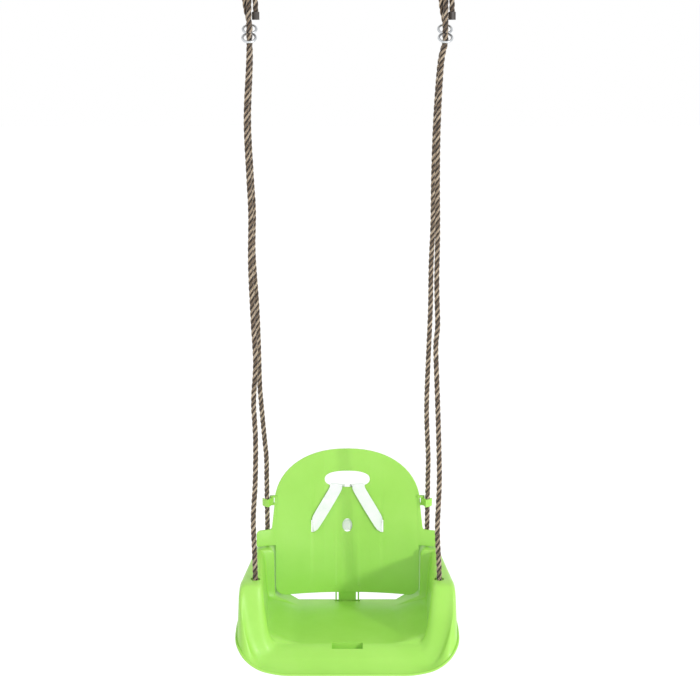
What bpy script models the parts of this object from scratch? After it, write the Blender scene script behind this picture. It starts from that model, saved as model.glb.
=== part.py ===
"""Toddler swing with a moulded bucket seat and a clip-on backrest, hung on two adjustable ropes.

Metres, +Z up, +X to the sitter's left (the viewer's right from the front), the sitter faces -Y.
The origin is midway between the two hanging rings, at the wire that the rope thimbles turn on.
Shapes of the seat are written in seat coordinates, with z = 0 at the top of the seat floor and y = 0
at the seat's own middle. seat_to_world turns them into the model's frame.
"""
import math

import bmesh
import bpy
from mathutils import Matrix, Vector

# ---- driving dimensions --------------------------------------------------------------------------
HANG_HEIGHT = 1.300        # ring wire above the seat floor
HANG_HALF_SPAN = 0.177     # half the distance between the two ropes at the top
BALANCE_Y = 0.0287         # seat coordinate that hangs right under the rings
ROPE_D = 0.010             # rope diameter
GAP = 0.0003               # air kept between neighbouring solids
WALL = 0.0035              # moulded wall of the seat

# seat shell
FLOOR_HALF = 0.098         # flat floor, half width
FLOOR_BACK = 0.116
FLOOR_FRONT = -0.106
SEAT_BACK = 0.142          # rear end of the two arm rests
ARM_TOP = 0.117            # arm rest height above the floor
ARM_FRONT = -0.085         # where the front posts turn down into the apron
POST_BACK_FRONT = 0.086    # front face of the two rear posts
POST_GAP_HALF = 0.1441     # half the gap between the rear posts
POST_SHOULDER = 0.0065     # the rear posts reach this far in behind the backrest
POST_SLANT = 0.008         # the front faces of the rear posts slant by this much
RAIL_FOOT_FRONT = 0.150    # inner foot of the arm rest at the front post
RAIL_FOOT_BACK = 0.158     # inner foot of the arm rest just ahead of the rear post
RAIL_LEAN = 0.007          # how far the inner wall leans out from foot to top
OUTER_FRONT = 0.201        # outer face of the arm rest at the front post
OUTER_BACK = 0.181         # outer face of the arm rest at its rear end
LEDGE_Z = 0.020            # foot of the inner walls above the floor
RIM_HALF = 0.206           # widest half width of the rim
RIM_SIDE_Z = 0.022
RIM_FRONT_Z = -0.038
RIM_ROLL = 0.0025          # small outward roll of the rim
TURNS = (0.0, 0.08, 0.16, 0.25, 0.36, 0.48, 0.60, 0.72, 0.86)   # steps round the front corner
RIM_HEIGHTS = (0.020, 0.015, 0.0105, 0.006, 0.000, -0.008, -0.0155, -0.0230, -0.0305)
APRON_HALF = 0.110         # straight part of the front edge, half width
REAR_LIP = 0.012           # down-turned rear edge of the floor

FRONT_HOLE = (0.172, -0.080)
REAR_HOLE = (0.1595, 0.121)
ROPE_HOLE_R = 0.0090

BAR_SLOT = (0.0575, 0.0175) # socket for a front guard post, width and depth
BAR_SLOT_Y = -0.1125
BAR_SLOT_DEPTH = 0.034
SOCKET_WALL = 0.003

# backrest
RECLINE = math.radians(10.0)
PANEL_Y = 0.104            # front face of the panel's middle at floor level
PANEL_T = 0.004
PANEL_BEND_R = 0.500       # the panel curves round the sitter
PANEL_HALF = 0.1455
PANEL_TOP = 0.303
ARCH_Z = 0.195             # where the sides turn into the arched top
ARCH_FULLNESS = 0.88       # below 1 the arch and the grab hole are fuller than an ellipse
HOLE_FULLNESS = 0.80
LOWER_HALF = 0.1426        # half width between the rear posts
PANEL_BOTTOM = 0.0185
WING_HALF = 0.180
WING_TOP = 0.150
WING_ROOT = 0.150          # half width where the wings begin
HANDLE = (0.045, 0.016)    # grab hole, half width and half height
HANDLE_Z = 0.243
PEEP = (0.0100, 0.0133)    # oval hole, half width and half height
PEEP_Z = 0.1512
BELT_SLOT_X = 0.069
BELT_SLOT_Z = 0.151
BELT_SLOT = (0.0065, 0.0245)
TONGUE_HALF = 0.0175
TONGUE_Y = 0.1085          # front face of the tongue
TONGUE_T = 0.004
TONGUE_END = -0.018
TONGUE_TOP = 0.0235        # inside the panel's lower edge
RIB_X = 0.0225             # stiffening rib either side of the tongue
RIB_HALF = 0.0015
RIB_DEEP = 0.0070
RIB_TOP = 0.0340
SLOT_SIDE = 0.0012         # play of the tongue sideways
SLOT_FRONT = 0.0032        # play ahead of the tongue, for lifting along the ropes
SLOT_BACK = 0.0008
BRACKET_END = -0.024

# rope clips on the backrest
CLIP_Z = 0.207
PIN_X = 0.1504
PIN_R = 0.0015
KNUCKLE_R = 0.0040
KNUCKLE_H = 0.0120
HOOK_H = 0.0155
HOOK_T = 0.0024
HOOK_PLAY = 0.0007         # air between rope and hook
HOOK_WRAP = math.radians(16.0)   # how far the hook reaches past the rope's middle
HOOK_START = 0.0080        # the full height starts this far from the pin, clear of the lugs
LUG_T = 0.0034
LUG_R = 0.0038
LUG_HALF = 0.0030
LUG_ROOT_X = 0.1400

# belt
BELT_W = 0.021
BELT_T = 0.0014
BELT_OFF = 0.0008          # air between belt and panel
BELT_TOP_X = 0.0228        # middle of the belt where it crosses the grab hole's lower edge
BUCKLE = (0.031, BELT_W + 0.003, 0.0085)
BUCKLE_Z = 0.198
BUCKLE_SPLIT = 0.0040      # where the plug's shoulder meets the socket

# adjuster, hanger
ADJUSTER_Z = HANG_HEIGHT - 0.185   # centre of the adjuster above the seat floor
EYE_R = 0.0120             # middle of the adjuster's wire
EYE_WIRE_R = 0.00225
EYE_TILT = math.radians(40.0)
RING_R = 0.028
RING_WIRE_R = 0.004
THIMBLE_HOLE_R = 0.0102
THIMBLE_DROP = 0.0045      # centre of the thimble below the ring wire
THIMBLE_FLANGE_R = 0.0205
THIMBLE_HALF_W = 0.0078
BEND_R = 0.020             # rope's middle line round the thimble
SLEEVE_Z = -0.086
SLEEVE_H = 0.014
STRAND_PITCH = 0.0106      # side by side strands
END_Z = 0.027              # free rope end above the adjuster's centre
FERRULE_R = 0.0068
FERRULE_H = 0.014

# rope routes in seat coordinates, x and height, chosen by hand: a rope that bears only the seat wavers
ROUTE_SPAN = 0.177         # the half span these were chosen at
FRONT_ROUTE = {
    -1: [(0.178, 1.060), (0.183, 0.960), (0.179, 0.860), (0.176, 0.790), (0.177, 0.700), (0.173, 0.600),
         (0.169, 0.520), (0.173, 0.450), (0.170, 0.380), (0.171, 0.300), (0.175, 0.230), (0.173, 0.160)],
    1: [(0.170, 1.060), (0.165, 0.960), (0.164, 0.860), (0.165, 0.760), (0.164, 0.670), (0.166, 0.590),
        (0.163, 0.550), (0.166, 0.470), (0.169, 0.390), (0.171, 0.300), (0.168, 0.210), (0.171, 0.150)],
}
REAR_ROUTE = {
    -1: [(0.177, 1.060), (0.182, 0.960), (0.179, 0.860), (0.176, 0.790), (0.178, 0.710), (0.173, 0.610),
         (0.171, 0.530), (0.170, 0.450), (0.167, 0.400), (0.163, 0.345)],
    1: [(0.169, 1.060), (0.163, 0.960), (0.161, 0.860), (0.161, 0.760), (0.159, 0.690), (0.159, 0.600),
        (0.157, 0.520), (0.155, 0.440), (0.155, 0.390), (0.157, 0.345)],
}
STRAIGHT_TOP = 0.300       # the rear rope runs straight from its hole to here, past the clip's travel
UNDER_ROUTE = [(0.172, -0.080, 0.086), (0.172, -0.069, 0.062), (0.172, -0.045, 0.050), (0.1725, 0.000, 0.048),
               (0.1725, 0.050, 0.050), (0.1705, 0.082, 0.058), (0.1628, 0.110, 0.077)]

HALVES = {"left": -1, "right": 1}

for item in list(bpy.data.objects):
    bpy.data.objects.remove(item)


# ---- helpers -------------------------------------------------------------------------------------
def make_material(name, colour, roughness, metallic=0.0):
    material = bpy.data.materials.new(name)
    material.use_nodes = True
    shader = material.node_tree.nodes["Principled BSDF"]
    shader.inputs["Base Color"].default_value = (*colour, 1.0)
    shader.inputs["Roughness"].default_value = roughness
    shader.inputs["Metallic"].default_value = metallic
    material.diffuse_color = (*colour, 1.0)
    return material


GREEN = make_material("green_plastic", (0.36, 0.75, 0.13), 0.40)
ROPE = make_material("twisted_rope", (0.20, 0.13, 0.07), 0.90)
STEEL = make_material("galvanised_steel", (0.62, 0.64, 0.66), 0.35, 1.0)
WEBBING = make_material("white_webbing", (0.85, 0.87, 0.86), 0.85)
WHITE = make_material("white_plastic", (0.86, 0.88, 0.88), 0.35)
DARK = make_material("dark_plastic", (0.035, 0.028, 0.024), 0.45)


def seat_to_world(x, y, z):
    return Vector((x, y - BALANCE_Y, z - HANG_HEIGHT))


def lerp(a, b, t):
    return a + (b - a) * t


def add_part(name, bm, material, pivot=(0.0, 0.0, 0.0), smooth=True):
    """Make an object from a bmesh in world coordinates, with its origin at the pivot."""
    bmesh.ops.recalc_face_normals(bm, faces=bm.faces)
    bmesh.ops.translate(bm, verts=bm.verts, vec=-Vector(pivot))
    mesh = bpy.data.meshes.new(name)
    bm.to_mesh(mesh)
    bm.free()
    part = bpy.data.objects.new(name, mesh)
    part.location = pivot
    bpy.context.collection.objects.link(part)
    mesh.materials.append(material)
    if smooth:
        mesh.shade_smooth()
        mesh.set_sharp_from_angle(angle=math.radians(35.0))
    return part


def add_cutter(name, bm):
    cutter = add_part(name, bm, GREEN, smooth=False)
    cutter.hide_render = True
    cutter.display_type = "WIRE"
    return cutter


def boolean(part, other, operation):
    step = part.modifiers.new(other.name, "BOOLEAN")
    step.operation = operation
    step.object = other
    step.use_self = True


def box(bm, low, high):
    """A box between two corners."""
    low, high = Vector(low), Vector(high)
    verts = bmesh.ops.create_cube(bm, size=1.0)["verts"]
    size = Matrix.Diagonal((*(high - low), 1.0))
    bmesh.ops.transform(bm, matrix=Matrix.Translation((low + high) / 2) @ size, verts=verts)


def rod(bm, start, end, radius, segments=16):
    """A closed cylinder between two points."""
    start, end = Vector(start), Vector(end)
    axis = end - start
    turn = axis.to_track_quat("Z", "Y").to_matrix().to_4x4()
    bmesh.ops.create_cone(bm, cap_ends=True, segments=segments, radius1=radius, radius2=radius,
                          depth=axis.length, matrix=Matrix.Translation((start + end) / 2) @ turn)


def prism(bm, outline, lift):
    """A closed solid: the outline (points in order) swept along the lift vector."""
    face = bm.faces.new([bm.verts.new(p) for p in outline])
    swept = bmesh.ops.extrude_face_region(bm, geom=[face])
    verts = [v for v in swept["geom"] if isinstance(v, bmesh.types.BMVert)]
    bmesh.ops.translate(bm, verts=verts, vec=lift)


def arc(centre, radius, start, end, steps):
    """Points of an arc in a plane, angles in degrees; radius may be a pair for an ellipse."""
    rx, ry = radius if isinstance(radius, tuple) else (radius, radius)
    turns = [math.radians(lerp(start, end, i / steps)) for i in range(steps + 1)]
    return [(centre[0] + rx * math.cos(a), centre[1] + ry * math.sin(a)) for a in turns]


def full_arc(centre, radii, fullness, end, steps):
    """Like arc from angle 0, with fuller shoulders than an ellipse."""
    points = []
    for x, y in arc((0, 0), 1.0, 0, end, steps):
        points.append((centre[0] + radii[0] * math.copysign(abs(x) ** fullness, x),
                       centre[1] + radii[1] * math.copysign(abs(y) ** fullness, y)))
    return points


def turned(bm, profile, centre, axis, segments=24):
    """Spin a closed profile of (radius, offset along the axis) points round an axis."""
    axis = Vector(axis)
    side = axis.orthogonal().normalized()
    centre = Vector(centre)
    verts = [bm.verts.new(centre + side * r + axis * h) for r, h in profile]
    edges = [bm.edges.new((verts[i], verts[(i + 1) % len(verts)])) for i in range(len(verts))]
    bmesh.ops.spin(bm, geom=verts + edges, cent=centre, axis=axis, angle=math.tau, steps=segments, use_merge=True)


def smooth_route(points, spacing):
    """Evenly spaced points on a smooth curve through the given points."""
    points = [Vector(p) for p in points]
    ends = [points[0] * 2 - points[1]] + points + [points[-1] * 2 - points[-2]]
    fine = []
    for a, b, c, d in zip(ends, ends[1:], ends[2:], ends[3:]):
        for i in range(12):
            t = i / 12
            fine.append(0.5 * (2 * b + (c - a) * t + (2 * a - 5 * b + 4 * c - d) * t * t
                               + (3 * b - a - 3 * c + d) * t ** 3))
    fine.append(points[-1])
    lengths = [0.0]
    for p, q in zip(fine, fine[1:]):
        lengths.append(lengths[-1] + (q - p).length)
    count = max(2, round(lengths[-1] / spacing))
    even, j = [], 0
    for i in range(count + 1):
        want = lengths[-1] * i / count
        while j < len(fine) - 2 and lengths[j + 1] < want:
            j += 1
        span = max(lengths[j + 1] - lengths[j], 1e-9)
        even.append(fine[j].lerp(fine[j + 1], (want - lengths[j]) / span))
    return even


def add_rope(name, route, spacing):
    curve = bpy.data.curves.new(name, "CURVE")
    curve.dimensions = "3D"
    curve.bevel_depth = ROPE_D / 2
    curve.bevel_resolution = 2
    curve.use_fill_caps = True
    points = smooth_route(route, spacing)
    spline = curve.splines.new("POLY")
    spline.points.add(len(points) - 1)
    for slot, p in zip(spline.points, points):
        slot.co = (*p, 1.0)
    curve.materials.append(ROPE)
    rope = bpy.data.objects.new(name, curve)
    bpy.context.collection.objects.link(rope)
    return rope


# ---- seat shell ----------------------------------------------------------------------------------
def side_section(y):
    """Right half section of the seat side at y, as points from the floor's edge out to the rim."""
    along = (y - ARM_FRONT) / (SEAT_BACK - ARM_FRONT)
    outer = lerp(OUTER_FRONT, OUTER_BACK, along)
    if y >= POST_BACK_FRONT:
        foot = POST_GAP_HALF - (POST_SHOULDER if y > FLOOR_BACK + GAP else 0.0)
        lean = 0.0015
    else:
        foot = lerp(RAIL_FOOT_FRONT, RAIL_FOOT_BACK, (y - ARM_FRONT) / (POST_BACK_FRONT - ARM_FRONT))
        lean = RAIL_LEAN
    floor_y = min(y, FLOOR_BACK)
    ledge_y = min(y, FLOOR_BACK + 0.010)
    rim = lerp(RIM_HALF, outer + 0.005, min(1.0, along * 1.4))
    points = [
        (FLOOR_HALF, floor_y, 0.0),
        (foot - 0.007, ledge_y, LEDGE_Z - 0.004),
        (foot, y, LEDGE_Z),
        (foot + lean, y, ARM_TOP - 0.012),
        (foot + lean + 0.003, y, ARM_TOP - 0.004),
        (foot + lean + 0.010, y, ARM_TOP - 0.0005),
        (outer - 0.010, y, ARM_TOP - 0.001),
        (outer - 0.003, y, ARM_TOP - 0.006),
        (outer, y, ARM_TOP - 0.015),
        (lerp(outer, rim, 0.6), y, lerp(ARM_TOP, RIM_SIDE_Z, 0.6)),
        (rim, y, RIM_SIDE_Z),
        (rim + RIM_ROLL, y, RIM_SIDE_Z - 0.001),
    ]
    return [Vector(p) for p in points]


def front_section():
    """The same points where the straight front edge begins: the roll from floor to rim."""
    reach = [0.000, 0.003, 0.006, 0.011, 0.016, 0.022, 0.029, 0.036, 0.042, 0.048, 0.055, 0.0575]
    fall = [0.000, 0.0003, 0.001, 0.003, 0.006, 0.0105, 0.0165, 0.0235, 0.0285, 0.0330, 0.0370, 0.0380]
    inner = [0.080, 0.090, 0.098]
    half = inner + [APRON_HALF] * (len(reach) - len(inner))
    return [Vector((x, FLOOR_FRONT - r, -f)) for x, r, f in zip(half, reach, fall)]


def corner_section(turn):
    """Section part way round the front corner; turn runs from 0 at the post to 1 at the front edge."""
    side, front = side_section(ARM_FRONT), front_section()
    angle = turn * math.pi / 2
    points = []
    for i, (s, f) in enumerate(zip(side, front)):
        round_off = (1.0, 0.73, 0.46, 0.46, 0.46, 0.46, 0.46, 0.46, 0.50, 0.55, 0.55, 0.55)[i]
        x = f.x + (s.x - f.x) * math.cos(angle) ** round_off
        y = s.y + (f.y - s.y) * math.sin(angle) ** round_off
        steep = (1.0, 1.5, 1.7, 2.6, 2.9, 3.0, 3.0, 2.9, 2.7, 0, 0, 0)[i]
        z = f.z + (s.z - f.z) * math.cos(angle) ** steep
        points.append(Vector((x, y, z)))
    rim_z = RIM_HEIGHTS[TURNS.index(turn)]
    points[-2].z = rim_z
    points[-1].z = rim_z - 0.001
    wall = points[-4]
    points[-3] = Vector((lerp(wall.x, points[-2].x, 0.6), lerp(wall.y, points[-2].y, 0.6),
                         lerp(wall.z, rim_z, 0.62)))
    return points


def seat_sections():
    """All right half sections, from the rear end to the middle of the front edge."""
    step = POST_SLANT
    rear = [SEAT_BACK, 0.128, FLOOR_BACK, 0.100, POST_BACK_FRONT]
    rail = [POST_BACK_FRONT - step, 0.062, 0.030, -0.005, -0.040, -0.066]
    sections = [side_section(y) for y in rear + rail]
    sections += [corner_section(turn) for turn in TURNS]
    front = front_section()
    for share in (1.0, 0.66, 0.33):
        sections.append([Vector((p.x * share, p.y, p.z)) for p in front])
    return sections


def seat_surface(bm):
    sections = seat_sections()
    right = [[bm.verts.new(p) for p in section] for section in sections]
    left = [[bm.verts.new((-p.x, p.y, p.z)) for p in section] for section in sections]
    middle = [bm.verts.new((0.0, p.y, p.z)) for p in sections[-1]]
    rows = right + [middle] + left[::-1]
    for one, two in zip(rows, rows[1:]):
        for a, b, c, d in zip(one, one[1:], two[1:], two):
            bm.faces.new((a, b, c, d))
    behind = rows[0][0], rows[-1][0]
    ring = [row[0] for row in rows if row[0].co.y < FLOOR_BACK - 0.0001]
    bm.faces.new([behind[0]] + ring + [behind[1]])
    for row in (rows[0], rows[-1]):
        bm.faces.new(row[2:])


def add_seat_shell():
    bm = bmesh.new()
    seat_surface(bm)
    bmesh.ops.remove_doubles(bm, verts=bm.verts, dist=0.00005)
    back = [v for v in bm.verts if abs(v.co.y - FLOOR_BACK) < 0.0001 and v.co.z < 0.001 and v.is_boundary]
    edges = [e for e in bm.edges if e.is_boundary and all(v in back for v in e.verts)]
    lip = bmesh.ops.extrude_edge_only(bm, edges=edges)
    down = [v for v in lip["geom"] if isinstance(v, bmesh.types.BMVert)]
    bmesh.ops.translate(bm, verts=down, vec=(0.0, 0.001, -REAR_LIP))
    for vert in bm.verts:
        vert.co = seat_to_world(*vert.co)
    shell = add_part("seat_shell", bm, GREEN)
    if max(shell.data.polygons, key=lambda f: f.area).normal.z < 0:
        shell.data.flip_normals()
    wall = shell.modifiers.new("wall", "SOLIDIFY")
    wall.thickness = WALL
    wall.offset = -1.0
    wall.use_even_offset = True
    wall.use_quality_normals = True
    return shell


def add_seat_cuts(shell):
    """Sockets under the floor, then every hole: ropes, front post, tongue of the backrest."""
    half, deep = BAR_SLOT[0] / 2, BAR_SLOT[1] / 2
    skin = [(p.y, p.z - WALL / 2) for p in front_section()]
    front, back = BAR_SLOT_Y - deep - SOCKET_WALL, BAR_SLOT_Y + deep + SOCKET_WALL
    top = [(back, -WALL / 2)] + [p for p in skin if front < p[0] < back]
    outline = top + [(front, top[-1][1] - 0.002), (front, -BAR_SLOT_DEPTH), (back, -BAR_SLOT_DEPTH)]
    bm = bmesh.new()
    prism(bm, [seat_to_world(-half - SOCKET_WALL, y, z) for y, z in outline], (2 * half + 2 * SOCKET_WALL, 0, 0))
    boolean(shell, add_cutter("post_socket", bm), "UNION")

    slot_half = RIB_X + RIB_HALF + SLOT_SIDE
    slot_front, slot_back = TONGUE_Y - SLOT_FRONT, TONGUE_Y + RIB_DEEP + SLOT_BACK
    bm = bmesh.new()
    box(bm, seat_to_world(-slot_half - SOCKET_WALL, slot_front - SOCKET_WALL, BRACKET_END),
        seat_to_world(slot_half + SOCKET_WALL, slot_back + SOCKET_WALL, -WALL / 2))
    boolean(shell, add_cutter("tongue_socket", bm), "UNION")

    bm = bmesh.new()
    box(bm, seat_to_world(-half, BAR_SLOT_Y - deep, -0.060), seat_to_world(half, BAR_SLOT_Y + deep, 0.020))
    box(bm, seat_to_world(-slot_half, slot_front, -0.060), seat_to_world(slot_half, slot_back, 0.020))
    for side in HALVES.values():
        for x, y in (FRONT_HOLE, REAR_HOLE):
            rod(bm, seat_to_world(side * x, y, ARM_TOP - 0.030), seat_to_world(side * x, y, ARM_TOP + 0.020),
                ROPE_HOLE_R)
    boolean(shell, add_cutter("seat_holes", bm), "DIFFERENCE")


# ---- backrest ------------------------------------------------------------------------------------
def bend(x):
    return PANEL_BEND_R - math.sqrt(PANEL_BEND_R ** 2 - x * x)


def panel_front(x, z):
    return PANEL_Y + z * math.tan(RECLINE) - bend(x)


def panel_back(x, z):
    return panel_front(x, z) + PANEL_T / math.cos(RECLINE)


def panel_outline():
    """Right half of the panel's outline as (x, z), from the bottom middle to the top middle."""
    wing_z = ARM_TOP + 0.0015
    points = arc((LOWER_HALF - 0.020, PANEL_BOTTOM + 0.020), 0.020, -90, 0, 5)
    points += [(LOWER_HALF, wing_z)]
    points += arc((WING_HALF - 0.003, wing_z + 0.003), 0.003, -90, 0, 2)
    points += arc((WING_HALF - 0.007, WING_TOP - 0.007), 0.007, 0, 90, 4)
    points += arc((WING_ROOT + 0.005, WING_TOP + 0.005), 0.005, -90, -180, 3)
    points += full_arc((0.0, ARCH_Z), (PANEL_HALF, PANEL_TOP - ARCH_Z), ARCH_FULLNESS, 90, 16)
    return points


def add_backrest_panel():
    reach, low, high = WING_HALF + 0.006, PANEL_BOTTOM - 0.010, PANEL_TOP + 0.010
    steps = 27
    bm = bmesh.new()
    sheet = [lerp(-reach, reach, i / steps) for i in range(steps + 1)]
    for x, next_x in zip(sheet, sheet[1:]):
        bm.faces.new([bm.verts.new(seat_to_world(x_, panel_front(x_, z), z))
                      for x_, z in ((x, low), (next_x, low), (next_x, high), (x, high))])
    bmesh.ops.remove_doubles(bm, verts=bm.verts, dist=0.00005)
    swept = bmesh.ops.extrude_face_region(bm, geom=list(bm.faces))
    moved = [v for v in swept["geom"] if isinstance(v, bmesh.types.BMVert)]
    bmesh.ops.translate(bm, verts=moved, vec=(0, PANEL_T / math.cos(RECLINE), 0))
    panel = add_part("backrest_panel", bm, GREEN)

    half = panel_outline()
    outline = half + [(-x, z) for x, z in half[-2::-1]]
    bm = bmesh.new()
    prism(bm, [seat_to_world(x, 0.0, z) for x, z in outline], (0, 0.30, 0))
    boolean(panel, add_cutter("panel_outline", bm), "INTERSECT")

    bm = bmesh.new()
    box(bm, seat_to_world(-TONGUE_HALF, TONGUE_Y, TONGUE_END),
        seat_to_world(TONGUE_HALF, TONGUE_Y + TONGUE_T, TONGUE_TOP))
    back = TONGUE_Y + RIB_DEEP
    for side in HALVES.values():
        x = side * RIB_X
        box(bm, seat_to_world(x - RIB_HALF, TONGUE_Y, TONGUE_END), seat_to_world(x + RIB_HALF, back, RIB_TOP))
    boolean(panel, add_cutter("tongue", bm), "UNION")
    bm = bmesh.new()
    box(bm, seat_to_world(-RIB_X - 0.0005, TONGUE_Y + 0.0005, TONGUE_END + 0.002),
        seat_to_world(RIB_X + 0.0005, TONGUE_Y + TONGUE_T - 0.0005, -0.004))
    boolean(panel, add_cutter("tongue_web", bm), "UNION")

    bm = bmesh.new()
    grab = full_arc((0.0, HANDLE_Z), HANDLE, HOLE_FULLNESS, 360, 40)[:-1]
    peep = arc((0.0, PEEP_Z), PEEP, 0, 360, 24)[:-1]
    for hole in (grab, peep):
        prism(bm, [seat_to_world(x, 0.0, z) for x, z in hole], (0, 0.30, 0))
    for side in HALVES.values():
        x, w, h = side * BELT_SLOT_X, BELT_SLOT[0] / 2, BELT_SLOT[1] / 2
        box(bm, seat_to_world(x - w, 0, BELT_SLOT_Z - h), seat_to_world(x + w, 0.30, BELT_SLOT_Z + h))
    boolean(panel, add_cutter("panel_holes", bm), "DIFFERENCE")
    for side in HALVES.values():
        add_lugs(panel, side)
    return panel


# ---- rope clips ----------------------------------------------------------------------------------
def rear_rope_point(z):
    """Middle of the right rear rope on its straight stretch, at a height above the floor."""
    run = (BALANCE_Y + EYE_R * math.cos(EYE_TILT) - REAR_HOLE[1]) / (ADJUSTER_Z - ARM_TOP)
    return Vector((REAR_HOLE[0], REAR_HOLE[1] + run * (z - ARM_TOP), z))


def lift_direction():
    return (rear_rope_point(1.0) - rear_rope_point(0.0)).normalized()


def pin_point():
    """Middle of the right clip's pin, in seat coordinates."""
    return Vector((PIN_X, panel_front(PANEL_HALF, CLIP_Z) + PANEL_T / 2, CLIP_Z))


def clip_frame(side):
    """Matrix from clip coordinates (x outwards, y back, z along the pin) to the world."""
    up = lift_direction()
    out = Vector((1, 0, 0))
    back = up.cross(out)
    turn = Matrix((out, back, up)).transposed()
    pin = pin_point()
    place = Matrix.Translation(seat_to_world(pin.x, pin.y, pin.z)) @ turn.to_4x4()
    return Matrix.Diagonal((side, 1, 1, 1)) @ place


def flat_block(bm, outline, low, high, frame):
    """A prism on a flat outline between two heights, in clip coordinates."""
    start = len(bm.verts)
    prism(bm, [Vector((x, y, low)) for x, y in outline], (0, 0, high - low))
    bm.verts.ensure_lookup_table()
    bmesh.ops.transform(bm, matrix=frame, verts=bm.verts[start:])


def add_lugs(panel, side):
    frame = clip_frame(side)
    low, high = KNUCKLE_H / 2 + GAP, KNUCKLE_H / 2 + GAP + LUG_T
    root = LUG_ROOT_X - PIN_X
    outline = [(root, -LUG_HALF)] + arc((0, 0), LUG_R, -90, 90, 8) + [(root, LUG_HALF)]
    bm = bmesh.new()
    flat_block(bm, outline, low, high, frame)
    flat_block(bm, outline, -high, -low, frame)
    boolean(panel, add_cutter("lugs", bm), "UNION")
    bm = bmesh.new()
    rod(bm, (0, 0, -high - 0.002), (0, 0, high + 0.002), PIN_R + GAP, 12)
    bmesh.ops.transform(bm, matrix=frame, verts=bm.verts)
    boolean(panel, add_cutter("lug_bores", bm), "DIFFERENCE")


def add_clip(name, side):
    frame = clip_frame(side)
    inverse = clip_frame(1).inverted()
    rope = rear_rope_point(CLIP_Z)
    at = inverse @ seat_to_world(rope.x, rope.y, rope.z)
    reach, bearing = math.hypot(at.x, at.y), math.atan2(at.y, at.x)
    clear = ROPE_D / 2 + HOOK_PLAY
    inner, outer = reach + clear, reach + clear + HOOK_T
    arm = bearing - math.asin(clear / reach)
    end = bearing + HOOK_WRAP
    along = Vector((math.cos(arm), math.sin(arm)))
    ahead = Vector((math.sin(arm), -math.cos(arm))) * HOOK_T
    elbow = arm - math.asin(HOOK_T / outer)
    hook = arc((0, 0), inner, math.degrees(end), math.degrees(arm), 6)
    hook += [along * HOOK_START, along * HOOK_START + ahead]
    hook += arc((0, 0), outer, math.degrees(elbow), math.degrees(end), 7)
    bm = bmesh.new()
    flat_block(bm, hook, -HOOK_H / 2, HOOK_H / 2, frame)
    clip = add_part(name, bm, GREEN, pivot=frame.translation)
    bm = bmesh.new()
    root = [along * 0.002, along * (HOOK_START + 0.003), along * (HOOK_START + 0.003) + ahead * 0.96,
            along * 0.002 + ahead * 0.96]
    flat_block(bm, root, -KNUCKLE_H / 2 + 0.0004, KNUCKLE_H / 2 - 0.0004, frame)
    boolean(clip, add_cutter("clip_arm", bm), "UNION")
    bm = bmesh.new()
    flat_block(bm, arc((0, 0), KNUCKLE_R, 0, 345, 23), -KNUCKLE_H / 2, KNUCKLE_H / 2, frame)
    boolean(clip, add_cutter("knuckle", bm), "UNION")
    bm = bmesh.new()
    rod(bm, (0, 0, -HOOK_H), (0, 0, HOOK_H), PIN_R + GAP, 12)
    bmesh.ops.transform(bm, matrix=frame, verts=bm.verts)
    boolean(clip, add_cutter("pin_bore", bm), "DIFFERENCE")


def add_clip_pin(name, side):
    high = KNUCKLE_H / 2 + GAP + LUG_T + 0.0006
    bm = bmesh.new()
    rod(bm, (0, 0, -high), (0, 0, high), PIN_R, 12)
    bmesh.ops.transform(bm, matrix=clip_frame(side), verts=bm.verts)
    add_part(name, bm, STEEL, pivot=clip_frame(side).translation)


# ---- belt ----------------------------------------------------------------------------------------
def hole_edge(x):
    """Height of the grab hole's lower edge."""
    share = min(1.0, abs(x) / HANDLE[0]) ** (1 / HOLE_FULLNESS)
    return HANDLE_Z - HANDLE[1] * (1 - share * share) ** (HOLE_FULLNESS / 2)


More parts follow.
